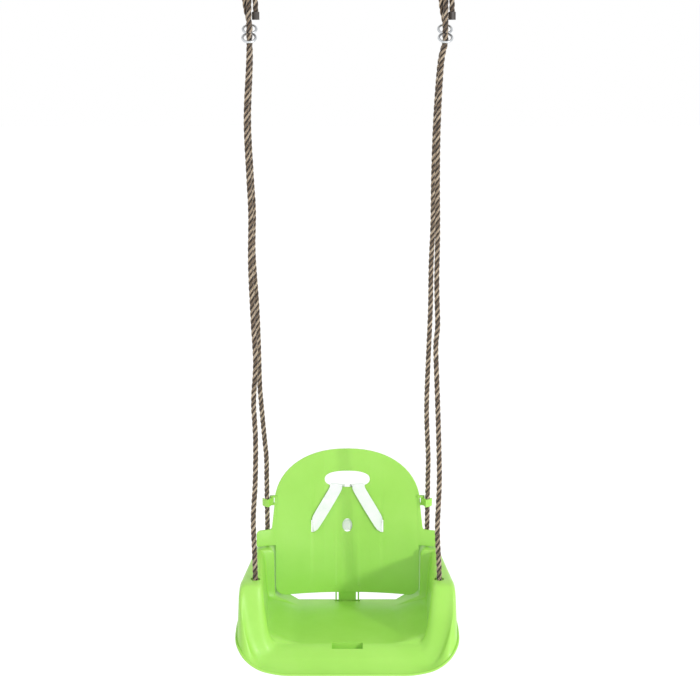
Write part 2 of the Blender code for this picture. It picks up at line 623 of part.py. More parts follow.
def belt_half(side):
    """Edge pairs and normals of half the belt, from the middle behind the panel to the buckle."""
    half = BELT_W / 2
    lift = BELT_OFF + BELT_T / 2
    rings = []

    def ring(one, two, normal):
        one, two = Vector(one), Vector(two)
        one.x *= side
        two.x *= side
        rings.append((seat_to_world(*one), seat_to_world(*two), Vector((normal[0] * side, normal[1], normal[2]))))

    z = BELT_SLOT_Z
    for x in (0.0, 0.022, 0.043, 0.061):
        y = panel_back(x, z) + lift
        rise = half * math.tan(RECLINE)
        ring((x, y - rise, z - half), (x, y + rise, z + half), (0, 1, 0))
    x = BELT_SLOT_X
    y = panel_back(x, z)
    ring((x - 0.0010, y + 0.0012, z - half), (x - 0.0010, y + 0.0046, z + half), (0.7, 0.7, 0))
    ring((x, y - 0.0040, z - half), (x, y - 0.0005, z + half), (1, 0, 0))
    y = panel_front(x, z)
    ring((x - 0.0020, y - 0.0048, z - half + 0.0005), (x + 0.0008, y - 0.0032, z + half + 0.0010), (0.5, -0.85, 0))
    ring((0.0600, panel_front(0.060, 0.145) - 0.0040, 0.1450),
         (0.0700, panel_front(0.070, 0.169) - 0.0030, 0.1690), (0, -1, 0.17))
    across = BELT_W / 2 / math.cos(math.radians(31.0))
    low = [(x, hole_edge(x) + 0.0010 - 0.004) for x in (BELT_TOP_X - across, BELT_TOP_X + across)]
    ring(*[(x, panel_front(x, z) - lift - 0.0010, z) for x, z in low], (0, -1, 0.17))
    radius = PANEL_T / 2 + lift
    for i in range(5):
        turn = math.radians(lerp(10, 170, i / 4))
        mid = BELT_TOP_X - radius * turn * math.tan(math.radians(31.0))
        pair = []
        for x in (mid - across, mid + across):
            edge = hole_edge(x) + 0.0010
            y = (panel_front(x, edge) + panel_back(x, edge)) / 2 - radius * math.cos(turn) * 1.02
            pair.append((x, y, edge + radius * math.sin(turn) + 0.0004))
        ring(*pair, (0, -math.cos(turn), math.sin(turn)))
    top = rings[-1][0].z + HANG_HEIGHT
    end_x, bottom = BUCKLE[0] / 2 + 0.0010, BUCKLE_Z - half * 0.92
    for share in (0.35, 0.7, 1.0):
        inner = Vector((lerp(0.0035, end_x, share ** 0.5), 0, lerp(top - 0.004, BUCKLE_Z + half * 0.92, share)))
        outer = Vector((lerp(0.0270, end_x, share ** 1.6), 0, lerp(top - 0.004, bottom, share ** 0.8)))
        for p in (inner, outer):
            p.y = panel_back(p.x, p.z) + lift + 0.0022 * share
        ring(inner, outer, (0, 1, -0.17))
    return rings


def add_belt():
    left, right = belt_half(-1), belt_half(1)
    rings = left[::-1] + right[1:]
    rows = []
    bm = bmesh.new()
    for low, high, normal in rings:
        push = normal.normalized() * BELT_T / 2
        rows.append([bm.verts.new(p) for p in (low + push, high + push, high - push, low - push)])
    for one, two in zip(rows, rows[1:]):
        for i in range(4):
            j = (i + 1) % 4
            bm.faces.new((one[i], one[j], two[j], two[i]))
    bm.faces.new(rows[0])
    bm.faces.new(rows[-1])
    add_part("belt_webbing", bm, WEBBING, smooth=False)


def add_buckle():
    wide, tall, deep = (d / 2 for d in BUCKLE)
    front = panel_back(0.0, BUCKLE_Z + tall) + 0.0012
    for name, x0, x1, trim in (("buckle_socket", -wide, BUCKLE_SPLIT, 0.0), ("buckle_plug", BUCKLE_SPLIT + GAP, wide, 0.0012)):
        bm = bmesh.new()
        box(bm, seat_to_world(x0, front + trim, BUCKLE_Z - tall + trim),
            seat_to_world(x1, front + 2 * deep - trim, BUCKLE_Z + tall - trim))
        add_part(name, bm, WHITE, smooth=False)


# ---- ropes and hanger ----------------------------------------------------------------------------
def add_ropes(word, side):
    eye_y = EYE_R * math.cos(EYE_TILT)
    adjuster = ADJUSTER_Z

    def strand(route, foot, y_top):
        """Lay the hand-chosen waver on the straight line from a hole up to the adjuster."""
        points = []
        for x, z in route:
            share = (z - ARM_TOP) / (adjuster - ARM_TOP)
            x += (HANG_HALF_SPAN - ROUTE_SPAN) * share
            points.append((side * x, lerp(foot[1], BALANCE_Y + y_top, share), z))
        return points

    through = 0.016
    front = [(side * HANG_HALF_SPAN, BALANCE_Y - eye_y, adjuster - drop) for drop in (GAP, through)]
    front += strand(FRONT_ROUTE[side], FRONT_HOLE, -eye_y)
    front += [(side * FRONT_HOLE[0], FRONT_HOLE[1], ARM_TOP)]
    under = [(side * x, y, z) for x, y, z in UNDER_ROUTE]
    rear = [rear_rope_point(z) for z in (ARM_TOP, 0.150, 0.206, 0.260, STRAIGHT_TOP)]
    rear = [(side * p.x, p.y, p.z) for p in rear]
    rear += strand(REAR_ROUTE[side][::-1], REAR_HOLE, eye_y)
    rear += [(side * HANG_HALF_SPAN, BALANCE_Y + eye_y, adjuster - drop) for drop in (through, GAP)]
    route = [seat_to_world(*p) for p in front + under + rear]
    add_rope(f"seat_rope_{word}", route, 0.0300)

    middle = Vector((side * HANG_HALF_SPAN, 0, 0))
    low = adjuster - HANG_HEIGHT
    bend_points = [(0, -BEND_R * math.cos(a), BEND_R * math.sin(a) - THIMBLE_DROP)
                   for a in (math.radians(d) for d in range(0, 181, 30))]
    down = [(0, -eye_y, low + 2 * GAP), (0, -eye_y, low + through), (0, -0.0045, low + 0.048),
            (0, 0, SLEEVE_Z - 0.012), (0, 0, SLEEVE_Z), (0, -0.0006, SLEEVE_Z + 0.012), (0, -0.0120, -0.045)]
    tail = [(STRAND_PITCH * 0.5, 0.0120, -0.045), (STRAND_PITCH, 0.0004, SLEEVE_Z + 0.012),
            (STRAND_PITCH, 0, SLEEVE_Z), (STRAND_PITCH, 0, SLEEVE_Z - 0.012),
            (STRAND_PITCH + 0.0012, 0.0, low + END_Z + 0.020),
            (STRAND_PITCH + 0.0008, 0.0, low + END_Z + 0.002)]
    add_rope(f"hanger_rope_{word}", [middle + Vector(p) for p in down + bend_points + tail], 0.0078)
    back = [(0, eye_y, low + 2 * GAP), (0, eye_y, low + through), (-0.0065, 0.0045, low + 0.048),
            (-STRAND_PITCH, 0, SLEEVE_Z - 0.012), (-STRAND_PITCH, 0, SLEEVE_Z), (-STRAND_PITCH, 0, SLEEVE_Z + 0.010)]
    add_rope(f"tail_rope_{word}", [middle + Vector(p) for p in back], 0.0078)


def circle_profile(radius, wire, sides):
    return [(radius + wire * math.cos(math.tau * i / sides), wire * math.sin(math.tau * i / sides))
            for i in range(sides)]


def add_adjuster(word, side):
    centre = Vector((side * HANG_HALF_SPAN, 0, ADJUSTER_Z - HANG_HEIGHT))
    along = Vector((0, math.cos(EYE_TILT), math.sin(EYE_TILT)))
    normal = Vector((0, -math.sin(EYE_TILT), math.cos(EYE_TILT)))
    profile = circle_profile(EYE_R, EYE_WIRE_R, 8)
    bm = bmesh.new()
    turned(bm, profile, centre - along * EYE_R, normal)
    adjuster = add_part(f"adjuster_{word}", bm, STEEL)
    bm = bmesh.new()
    turned(bm, profile, centre + along * EYE_R, normal)
    boolean(adjuster, add_cutter("upper_eye", bm), "UNION")


def add_hanger(word, side):
    middle = Vector((side * HANG_HALF_SPAN, 0, 0))
    bm = bmesh.new()
    turned(bm, circle_profile(RING_R, RING_WIRE_R, 10), middle + Vector((0, 0, RING_R)), (0, 1, 0), 32)
    add_part(f"hang_ring_{word}", bm, STEEL, pivot=middle)

    seat_r = ROPE_D / 2 + 3 * GAP
    groove = [(BEND_R - seat_r * math.cos(a), seat_r * math.sin(a))
              for a in (math.radians(d) for d in (-70, -35, 0, 35, 70))]
    edge = THIMBLE_HALF_W
    profile = [(THIMBLE_HOLE_R, -edge), (THIMBLE_FLANGE_R, -edge), (THIMBLE_FLANGE_R, -edge + 0.0012)]
    profile += groove + [(THIMBLE_FLANGE_R, edge - 0.0012), (THIMBLE_FLANGE_R, edge), (THIMBLE_HOLE_R, edge)]
    bm = bmesh.new()
    turned(bm, profile, middle - Vector((0, 0, THIMBLE_DROP)), (1, 0, 0), 32)
    add_part(f"thimble_{word}", bm, STEEL)

    radius = ROPE_D / 2 + 3 * GAP
    bm = bmesh.new()
    for grow, low, high in ((0.0016, -SLEEVE_H / 2, SLEEVE_H / 2),):
        outline = arc((STRAND_PITCH, 0), radius + grow, -90, 90, 8)
        outline += arc((-STRAND_PITCH, 0), radius + grow, 90, 270, 8)
        base = middle + Vector((0, 0, SLEEVE_Z + low))
        prism(bm, [base + Vector((x, y, 0)) for x, y in outline], (0, 0, high - low))
    sleeve = add_part(f"rope_sleeve_{word}", bm, STEEL)
    bm = bmesh.new()
    outline = arc((STRAND_PITCH, 0), radius, -90, 90, 8) + arc((-STRAND_PITCH, 0), radius, 90, 270, 8)
    base = middle + Vector((0, 0, SLEEVE_Z - SLEEVE_H))
    prism(bm, [base + Vector((x, y, 0)) for x, y in outline], (0, 0, 2 * SLEEVE_H))
    boolean(sleeve, add_cutter("sleeve_bore", bm), "DIFFERENCE")

    low = ADJUSTER_Z - HANG_HEIGHT + END_Z
    start = middle + Vector((STRAND_PITCH + 0.0012, 0, low - 0.0030))
    bm = bmesh.new()
    rod(bm, start, start + Vector((0, 0, FERRULE_H)), FERRULE_R)
    ferrule = add_part(f"rope_end_cap_{word}", bm, DARK)
    bm = bmesh.new()
    rod(bm, start + Vector((0, 0, 0.0024)), start + Vector((0, 0, 2 * FERRULE_H)), ROPE_D / 2 + 0.0007)
    boolean(ferrule, add_cutter("cap_bore", bm), "DIFFERENCE")


# ---- the model -----------------------------------------------------------------------------------
add_seat_cuts(add_seat_shell())
add_backrest_panel()
add_belt()
add_buckle()
for half_name, half_side in HALVES.items():
    add_clip(f"rope_clip_{half_name}", half_side)
    add_clip_pin(f"clip_pin_{half_name}", half_side)
    add_ropes(half_name, half_side)
    add_adjuster(half_name, half_side)
    add_hanger(half_name, half_side)
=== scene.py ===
# %% [markdown]
# # Toddler swing with a clip-on backrest
# A moulded seat hangs on two twisted ropes. This file builds everything that shows around the fixed frame:
# first the camera, then the ropes, the moulded plastic, the belt, the steel parts and the light.

# %% Load the frame
import math

import bmesh
import bpy
import numpy as np
from mathutils import Matrix, Vector
from mathutils.kdtree import KDTree


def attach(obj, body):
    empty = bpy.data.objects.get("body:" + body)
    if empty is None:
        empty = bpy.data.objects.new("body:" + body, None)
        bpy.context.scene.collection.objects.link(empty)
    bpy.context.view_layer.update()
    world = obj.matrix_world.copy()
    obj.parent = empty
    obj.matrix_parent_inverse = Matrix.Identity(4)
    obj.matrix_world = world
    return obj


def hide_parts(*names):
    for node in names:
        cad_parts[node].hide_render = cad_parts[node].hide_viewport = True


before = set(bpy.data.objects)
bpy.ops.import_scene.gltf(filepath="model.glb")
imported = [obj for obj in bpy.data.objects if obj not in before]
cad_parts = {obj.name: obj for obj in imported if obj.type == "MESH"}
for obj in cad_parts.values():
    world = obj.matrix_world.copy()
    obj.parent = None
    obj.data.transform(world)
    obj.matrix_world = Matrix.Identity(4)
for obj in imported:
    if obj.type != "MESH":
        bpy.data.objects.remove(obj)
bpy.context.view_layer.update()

# %% [markdown]
# The seat is easiest to think of in its own coordinates, with zero at the top of its floor. The frame has its
# zero up at the hanging rings, so one small helper moves points from the seat to the frame.

# %% Seat coordinates
HANG_HEIGHT = 1.300
HANG_HALF_SPAN = 0.177
BALANCE_Y = 0.0287
HALVES = {"left": -1, "right": 1}


def seat_to_world(x, y, z):
    return Vector((x, y - BALANCE_Y, z - HANG_HEIGHT))


def lerp(a, b, t):
    return a + (b - a) * t


# %% [markdown]
# The camera stands in front, a little above the backrest, and looks down at the seat with a long lens, so the
# two ropes stay almost parallel.

# %% Camera
camera_data = bpy.data.cameras.new("camera")
camera_data.lens = 74.6
camera_data.shift_x = 0.0039
camera = bpy.data.objects.new("camera", camera_data)
camera.location = seat_to_world(0.0, -2.654, 1.077)
camera.rotation_euler = (math.radians(90.0 - 11.5), 0.0, 0.0)
bpy.context.scene.collection.objects.link(camera)
bpy.context.scene.camera = camera
print("camera at", [round(c, 3) for c in camera.location])


# %% [markdown]
# Materials come from small node recipes. Each one mixes its colour with noise at two sizes and adds a bump,
# so that nothing is one flat colour. Constants go straight on the shader's own sockets.

# %% Node helpers
class Recipe:
    """A material under construction, with short calls for the nodes it needs."""

    def __init__(self, name, roughness, metallic=0.0, coat=0.0, specular=0.5):
        self.material = bpy.data.materials.new(name)
        self.material.use_nodes = True
        self.nodes = self.material.node_tree.nodes
        self.links = self.material.node_tree.links
        self.shader = self.nodes["Principled BSDF"]
        self.shader.inputs["Roughness"].default_value = roughness
        self.shader.inputs["Metallic"].default_value = metallic
        self.shader.inputs["Coat Weight"].default_value = coat
        self.shader.inputs["Specular IOR Level"].default_value = specular

    def node(self, kind, links=None, **values):
        node = self.nodes.new("ShaderNode" + kind)
        for key, value in values.items():
            if hasattr(node, key):
                setattr(node, key, value)
            else:
                node.inputs[key.replace("_", " ")].default_value = value
        for socket, source in (links or {}).items():
            self.links.new(source, node.inputs[socket])
        return node

    def coordinates(self, kind="Object", scale=(1, 1, 1)):
        source = self.node("TexCoord").outputs[kind]
        return self.node("Mapping", {"Vector": source}, Scale=scale).outputs[0]

    def noise(self, vector, scale, detail=3.0, roughness=0.55):
        settings = {"Scale": scale, "Detail": detail, "Roughness": roughness}
        return self.node("TexNoise", {"Vector": vector}, **settings).outputs[0]

    def ramp(self, factor, stops):
        ramp = self.node("ValToRGB", {"Fac": factor}).color_ramp
        while len(ramp.elements) < len(stops):
            ramp.elements.new(0.5)
        for element, (place, colour) in zip(ramp.elements, stops):
            element.position = place
            element.color = (*colour, 1.0) if len(colour) == 3 else colour
        return self.nodes[-1].outputs[0]

    def mix(self, factor, one, two, blend="MIX"):
        node = self.node("Mix", data_type="RGBA", blend_type=blend)
        for socket, value in ((0, factor), (6, one), (7, two)):
            if isinstance(value, bpy.types.NodeSocket):
                self.links.new(value, node.inputs[socket])
            else:
                node.inputs[socket].default_value = value if socket == 0 else (*value, 1.0)
        return node.outputs[2]

    def range(self, value, low, high):
        return self.node("MapRange", {"Value": value}, To_Min=low, To_Max=high).outputs[0]

    def paint(self, colour=None, roughness=None):
        if colour is not None:
            self.links.new(colour, self.shader.inputs["Base Color"])
        if roughness is not None:
            self.links.new(roughness, self.shader.inputs["Roughness"])
        return self

    def bump(self, height, strength, distance, under=None):
        links = {"Height": height}
        if under is not None:
            links["Normal"] = under
        bump = self.node("Bump", links, Strength=strength, Distance=distance).outputs[0]
        self.links.new(bump, self.shader.inputs["Normal"])
        return bump


# %% [markdown]
# The plastic is a bright polypropylene with a fine satin grain from the mould. It lets a little light in, so
# a touch of subsurface keeps its shadows green and clear.

# %% Moulded plastic
def moulded_plastic(name, deep, middle, light):
    recipe = Recipe(name, roughness=0.42, coat=0.06)
    place = recipe.coordinates()
    cloudy = recipe.noise(place, 9.0, 4.0)
    colour = recipe.ramp(cloudy, [(0.28, deep), (0.52, middle), (0.78, light)])
    fine = recipe.noise(place, 900.0, 2.0)
    recipe.paint(colour, recipe.range(recipe.noise(place, 60.0, 4.0), 0.36, 0.50))
    grain = recipe.bump(fine, 0.10, 0.0004)
    recipe.bump(recipe.noise(place, 30.0, 2.0), 0.06, 0.002, grain)
    recipe.shader.inputs["Subsurface Weight"].default_value = 0.12
    recipe.shader.inputs["Subsurface Radius"].default_value = (0.004, 0.008, 0.002)
    recipe.shader.inputs["Subsurface Scale"].default_value = 1.0
    return recipe.material


GREEN = moulded_plastic("green_plastic", (0.288, 0.600, 0.072), (0.312, 0.628, 0.086), (0.340, 0.655, 0.106))


# %% Other materials
def plain_white():
    recipe = Recipe("white_plastic", roughness=0.35, coat=0.1)
    place = recipe.coordinates()
    cloudy = recipe.noise(place, 40.0)
    recipe.paint(recipe.ramp(cloudy, [(0.3, (0.80, 0.82, 0.81)), (0.7, (0.88, 0.89, 0.88))]))
    recipe.bump(recipe.noise(place, 700.0), 0.08, 0.0003)
    return recipe.material


WHITE = plain_white()


def galvanised():
    recipe = Recipe("galvanised_steel", roughness=0.33, metallic=1.0)
    place = recipe.coordinates()
    spangle = recipe.node("TexVoronoi", {"Vector": place}, Scale=420.0).outputs["Distance"]
    cloudy = recipe.noise(place, 90.0, 5.0)
    recipe.paint(recipe.ramp(cloudy, [(0.3, (0.44, 0.46, 0.48)), (0.6, (0.66, 0.68, 0.70))]),
                 recipe.range(spangle, 0.22, 0.48))
    recipe.bump(cloudy, 0.15, 0.0004)
    return recipe.material


STEEL = galvanised()


# %% [markdown]
# The rope is laid from three strands, and each strand from many yarns, dark brown and black with tan ones
# between. The strands are real geometry that turns once in about 36 mm. The yarns are in the material, along
# the strand's own UV map: U runs round the strand, V runs along it in metres.
# The material also paints shade in the grooves between the yarns and in the valleys between the strands.

# %% Rope material
def rope_material():
    recipe = Recipe("twisted_rope", roughness=0.72, specular=0.35)
    place = recipe.coordinates("UV", (1.0, 1.0, 1.0))
    split = recipe.node("SeparateXYZ", {"Vector": place})
    turn = recipe.node("Math", {0: split.outputs[0]}, operation="MULTIPLY")
    turn.inputs[1].default_value = 9.0
    along = recipe.node("Math", {0: split.outputs[1]}, operation="MULTIPLY")
    along.inputs[1].default_value = 130.0
    phase = recipe.node("Math", {0: turn.outputs[0], 1: along.outputs[0]}, operation="ADD").outputs[0]
    yarn = recipe.node("Math", {0: phase}, operation="FRACT").outputs[0]
    crown = recipe.node("Math", {0: yarn}, operation="PINGPONG")
    crown.inputs[1].default_value = 0.5
    which = recipe.node("Math", {0: phase}, operation="FLOOR").outputs[0]
    pick = recipe.node("TexWhiteNoise", {"W": which}, noise_dimensions="1D").outputs["Value"]
    strand = recipe.node("Attribute", attribute_name="strand").outputs["Fac"]
    own = recipe.node("TexWhiteNoise", {"W": strand}, noise_dimensions="1D").outputs["Value"]
    drift = recipe.noise(recipe.coordinates("Object"), 60.0, 3.0)
    blend = recipe.mix(0.30, recipe.mix(0.40, pick, drift), own)
    colour = recipe.ramp(blend, [(0.26, (0.060, 0.036, 0.020)), (0.42, (0.20, 0.125, 0.070)),
                                 (0.56, (0.52, 0.38, 0.24)), (0.72, (0.85, 0.72, 0.54))])
    # painted shade: the yarn colour darkens towards each yarn's edges, in the grooves between the yarns
    yarn_gap_shade = recipe.ramp(crown.outputs[0], [(0.02, (0.30, 0.30, 0.30)), (0.30, (1.0, 1.0, 1.0))])
    # painted shade: the rope darkens towards the valleys between the strands and keeps its full colour on
    # their crowns
    high = recipe.node("Attribute", attribute_name="crown").outputs["Fac"]
    strand_valley_shade = recipe.ramp(high, [(0.10, (0.015, 0.010, 0.008)), (0.60, (0.16, 0.12, 0.10)),
                                (0.92, (1.0, 1.0, 1.0))])
    recipe.paint(recipe.mix(1.0, recipe.mix(1.0, colour, yarn_gap_shade, "MULTIPLY"), strand_valley_shade, "MULTIPLY"))
    recipe.bump(crown.outputs[0], 0.7, 0.0012)
    recipe.shader.inputs["Sheen Weight"].default_value = 0.25
    recipe.shader.inputs["Sheen Roughness"].default_value = 0.5
    return recipe.material


ROPE = rope_material()

# %% [markdown]
# A rope that carries only an empty seat is never quite straight. Its route is a short list of given points,
# the same as in the frame, with a smooth curve through them.

# %% Rope routes
ROPE_D = 0.010
FRONT_HOLE = (0.172, -0.080)
REAR_HOLE = (0.1595, 0.121)
ARM_TOP = 0.117
ADJUSTER_Z = HANG_HEIGHT - 0.185
EYE_R = 0.0120
EYE_TILT = math.radians(40.0)
BEND_R = 0.020
THIMBLE_DROP = 0.0045
SLEEVE_Z = -0.086
STRAND_PITCH = 0.0106
END_Z = 0.027
GAP = 0.0003
FRONT_ROUTE = {
    -1: [(0.178, 1.060), (0.183, 0.960), (0.179, 0.860), (0.176, 0.790), (0.177, 0.700), (0.173, 0.600),
         (0.169, 0.520), (0.173, 0.450), (0.170, 0.380), (0.171, 0.300), (0.175, 0.230), (0.173, 0.160)],
    1: [(0.170, 1.060), (0.165, 0.960), (0.164, 0.860), (0.165, 0.760), (0.164, 0.670), (0.166, 0.590),
        (0.163, 0.550), (0.166, 0.470), (0.169, 0.390), (0.171, 0.300), (0.168, 0.210), (0.171, 0.150)],
}
REAR_ROUTE = {
    -1: [(0.177, 1.060), (0.182, 0.960), (0.179, 0.860), (0.176, 0.790), (0.178, 0.710), (0.173, 0.610),
         (0.171, 0.530), (0.170, 0.450), (0.167, 0.400), (0.163, 0.345)],
    1: [(0.169, 1.060), (0.163, 0.960), (0.161, 0.860), (0.161, 0.760), (0.159, 0.690), (0.159, 0.600),
        (0.157, 0.520), (0.155, 0.440), (0.155, 0.390), (0.157, 0.345)],
}
UNDER_ROUTE = [(0.172, -0.080, 0.086), (0.172, -0.069, 0.062), (0.172, -0.045, 0.050), (0.1725, 0.000, 0.048),
               (0.1725, 0.050, 0.050), (0.1705, 0.082, 0.058), (0.1628, 0.110, 0.077)]


def smooth_route(points, spacing):
    """Evenly spaced points on a smooth curve through the given points."""
    points = [Vector(p) for p in points]
    ends = [points[0] * 2 - points[1]] + points + [points[-1] * 2 - points[-2]]
    fine = []
    for a, b, c, d in zip(ends, ends[1:], ends[2:], ends[3:]):
        for i in range(12):
            t = i / 12
            fine.append(0.5 * (2 * b + (c - a) * t + (2 * a - 5 * b + 4 * c - d) * t * t
                               + (3 * b - a - 3 * c + d) * t ** 3))
    fine.append(points[-1])
    lengths = [0.0]
    for p, q in zip(fine, fine[1:]):
        lengths.append(lengths[-1] + (q - p).length)
    count = max(2, round(lengths[-1] / spacing))
    even, j = [], 0
    for i in range(count + 1):
        want = lengths[-1] * i / count
        while j < len(fine) - 2 and lengths[j + 1] < want:
            j += 1
        span = max(lengths[j + 1] - lengths[j], 1e-9)
        even.append(fine[j].lerp(fine[j + 1], (want - lengths[j]) / span))
    return even


def rear_rope_point(z):
    run = (BALANCE_Y + EYE_R * math.cos(EYE_TILT) - REAR_HOLE[1]) / (ADJUSTER_Z - ARM_TOP)
    return Vector((REAR_HOLE[0], REAR_HOLE[1] + run * (z - ARM_TOP), z))


def seat_rope_route(side):
    eye_y = EYE_R * math.cos(EYE_TILT)

    def strand(route, foot, y_top):
        points = []
        for x, z in route:
            share = (z - ARM_TOP) / (ADJUSTER_Z - ARM_TOP)
            points.append((side * x, lerp(foot[1], BALANCE_Y + y_top, share), z))
        return points

    front = [(side * HANG_HALF_SPAN, BALANCE_Y - eye_y, ADJUSTER_Z - drop) for drop in (GAP, 0.016)]
    front += strand(FRONT_ROUTE[side], FRONT_HOLE, -eye_y)
    front += [(side * FRONT_HOLE[0], FRONT_HOLE[1], ARM_TOP)]
    under = [(side * x, y, z) for x, y, z in UNDER_ROUTE]
    rear = [(side * p.x, p.y, p.z) for p in map(rear_rope_point, (ARM_TOP, 0.150, 0.206, 0.260, 0.300))]
    rear += strand(REAR_ROUTE[side][::-1], REAR_HOLE, eye_y)
    rear += [(side * HANG_HALF_SPAN, BALANCE_Y + eye_y, ADJUSTER_Z - drop) for drop in (0.016, GAP)]
    return [seat_to_world(*p) for p in front + under + rear]


def hanger_routes(side):
    """The rope over the thimble with its free end, and the short tail behind the adjuster."""
    middle = Vector((side * HANG_HALF_SPAN, 0, 0))
    low, eye_y = ADJUSTER_Z - HANG_HEIGHT, EYE_R * math.cos(EYE_TILT)
    over = [(0, -BEND_R * math.cos(a), BEND_R * math.sin(a) - THIMBLE_DROP)
            for a in (math.radians(d) for d in range(0, 181, 30))]
    down = [(0, -eye_y, low + 2 * GAP), (0, -eye_y, low + 0.016), (0, -0.0045, low + 0.048),
            (0, 0, SLEEVE_Z - 0.012), (0, 0, SLEEVE_Z), (0, -0.0006, SLEEVE_Z + 0.012), (0, -0.0120, -0.045)]
    tail = [(STRAND_PITCH * 0.5, 0.0120, -0.045), (STRAND_PITCH, 0.0004, SLEEVE_Z + 0.012),
            (STRAND_PITCH, 0, SLEEVE_Z), (STRAND_PITCH, 0, SLEEVE_Z - 0.012),
            (STRAND_PITCH + 0.0012, 0.0, low + END_Z + 0.020),
            (STRAND_PITCH + 0.0008, 0.0, low + END_Z + 0.002)]
    back = [(0, eye_y, low + 2 * GAP), (0, eye_y, low + 0.016), (-0.0065, 0.0045, low + 0.048),
            (-STRAND_PITCH, 0, SLEEVE_Z - 0.012), (-STRAND_PITCH, 0, SLEEVE_Z),
            (-STRAND_PITCH, 0, SLEEVE_Z + 0.010)]
    return [middle + Vector(p) for p in down + over + tail], [middle + Vector(p) for p in back]


# %% [markdown]
# A frame of two side directions is carried along the route without twisting. Each strand then circles that
# frame as a helix. All three strands are one curve with three splines, turned into a mesh.

# %% Laid rope
STEP = 0.0022              # points along the rope
STRAND_R = 0.00262
STRAND_OFFSET = 0.00250    # from the rope's middle to each strand's
LAY = 0.036                # length of one full turn of a strand
VALLEY_R = 0.0030          # how far the valleys between strands are from the middle


def mark_crowns(mesh, path, tangents):
    """Store how far out each point lies: 0 in the valleys between the strands, 1 on their crowns. The rope
    material paints shade in the valleys from it.
    """
    nearest = KDTree(len(path))
    for i, point in enumerate(path):
        nearest.insert(point, i)
    nearest.balance()
    crown = mesh.attributes.new("crown", "FLOAT", "POINT")
    strand = mesh.attributes.new("strand", "FLOAT", "POINT")
    count = len(mesh.vertices)
    for i, vert in enumerate(mesh.vertices):
        spot, at, _ = nearest.find(vert.co)
        away = vert.co - spot
        radius = (away - tangents[at] * away.dot(tangents[at])).length
        crown.data[i].value = min(1.0, max(0.0, (radius - VALLEY_R) / (ROPE_D / 2 - VALLEY_R)))
        strand.data[i].value = 3 * i // count


def laid_rope(name, route):
    """A three-strand rope along a route: the object, the points its cord follows, and its length."""
    path = smooth_route(route, STEP)
    before, after = [path[0]] + path[:-1], path[1:] + [path[-1]]
    tangents = [(b - a).normalized() for a, b in zip(before, after)]
    side = tangents[0].orthogonal().normalized()
    curve = bpy.data.curves.new(name, "CURVE")
    curve.dimensions = "3D"
    curve.bevel_depth = STRAND_R
    curve.bevel_resolution = 4
    curve.use_fill_caps = True
    splines = [curve.splines.new("POLY") for _ in range(3)]
    for spline in splines:
        spline.points.add(len(path) - 1)
    travelled = 0.0
    for i, (point, tangent) in enumerate(zip(path, tangents)):
        if i:
            travelled += (point - path[i - 1]).length
        side = (side - tangent * side.dot(tangent)).normalized()
        across = tangent.cross(side)
        for k, spline in enumerate(splines):
            turn = math.tau * (k / 3 + travelled / LAY)
            spot = point + (side * math.cos(turn) + across * math.sin(turn)) * STRAND_OFFSET
            spline.points[i].co = (*spot, 1.0)
    holder = bpy.data.objects.new(name, curve)
    mesh = bpy.data.meshes.new_from_object(holder)
    bpy.data.objects.remove(holder)
    uv = np.empty(len(mesh.loops) * 2, np.float32)
    mesh.uv_layers[0].data.foreach_get("uv", uv)
    uv = uv.reshape(-1, 2)
    uv[:, 1] *= travelled
    mesh.uv_layers[0].data.foreach_set("uv", uv.ravel())
    mark_crowns(mesh, path, tangents)
    mesh.materials.clear()
    mesh.materials.append(ROPE)
    mesh.shade_smooth()
    rope = bpy.data.objects.new(name, mesh)
    bpy.context.scene.collection.objects.link(rope)
    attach(rope, "seat")
    print(f"{name}: {travelled:.3f} m of rope, {len(mesh.polygons)} faces")
    return rope, path[::4] + [path[-1]], travelled


for word, side in HALVES.items():
    hanger, tail = hanger_routes(side)
    for kind, route in (("seat", seat_rope_route(side)), ("hanger", hanger), ("tail", tail)):
        laid_rope(f"laid_{kind}_rope_{word}", route)
        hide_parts(f"{kind}_rope_{word}")

# %% [markdown]
# The moulded pieces follow the same sections and outlines as the frame, in seat coordinates, with many more
# points between them.

# %% Shape of the seat and the backrest
WALL = 0.0035              # moulded wall of the seat
# seat shell
FLOOR_HALF = 0.098         # flat floor, half width
FLOOR_BACK = 0.116
FLOOR_FRONT = -0.106
SEAT_BACK = 0.142          # rear end of the two arm rests
ARM_FRONT = -0.085         # where the front posts turn down into the apron
POST_BACK_FRONT = 0.086    # front face of the two rear posts
POST_GAP_HALF = 0.1441     # half the gap between the rear posts
POST_SHOULDER = 0.0065     # the rear posts reach this far in behind the backrest
POST_SLANT = 0.008         # the front faces of the rear posts slant by this much
RAIL_FOOT_FRONT = 0.150    # inner foot of the arm rest at the front post
RAIL_FOOT_BACK = 0.158     # inner foot of the arm rest just ahead of the rear post
RAIL_LEAN = 0.007          # how far the inner wall leans out from foot to top
OUTER_FRONT = 0.201        # outer face of the arm rest at the front post
OUTER_BACK = 0.181         # outer face of the arm rest at its rear end
LEDGE_Z = 0.020            # foot of the inner walls above the floor
RIM_HALF = 0.206           # widest half width of the rim
RIM_SIDE_Z = 0.022
RIM_ROLL = 0.0025          # small outward roll of the rim
TURNS = (0.0, 0.08, 0.16, 0.25, 0.36, 0.48, 0.60, 0.72, 0.86)   # steps round the front corner
RIM_HEIGHTS = (0.020, 0.015, 0.0105, 0.006, 0.000, -0.008, -0.0155, -0.0230, -0.0305)
APRON_HALF = 0.110         # straight part of the front edge, half width
REAR_LIP = 0.012           # down-turned rear edge of the floor

ROPE_HOLE_R = 0.0090

BAR_SLOT = (0.0575, 0.0175) # socket for a front guard post, width and depth
BAR_SLOT_Y = -0.1125
BAR_SLOT_DEPTH = 0.034
SOCKET_WALL = 0.003

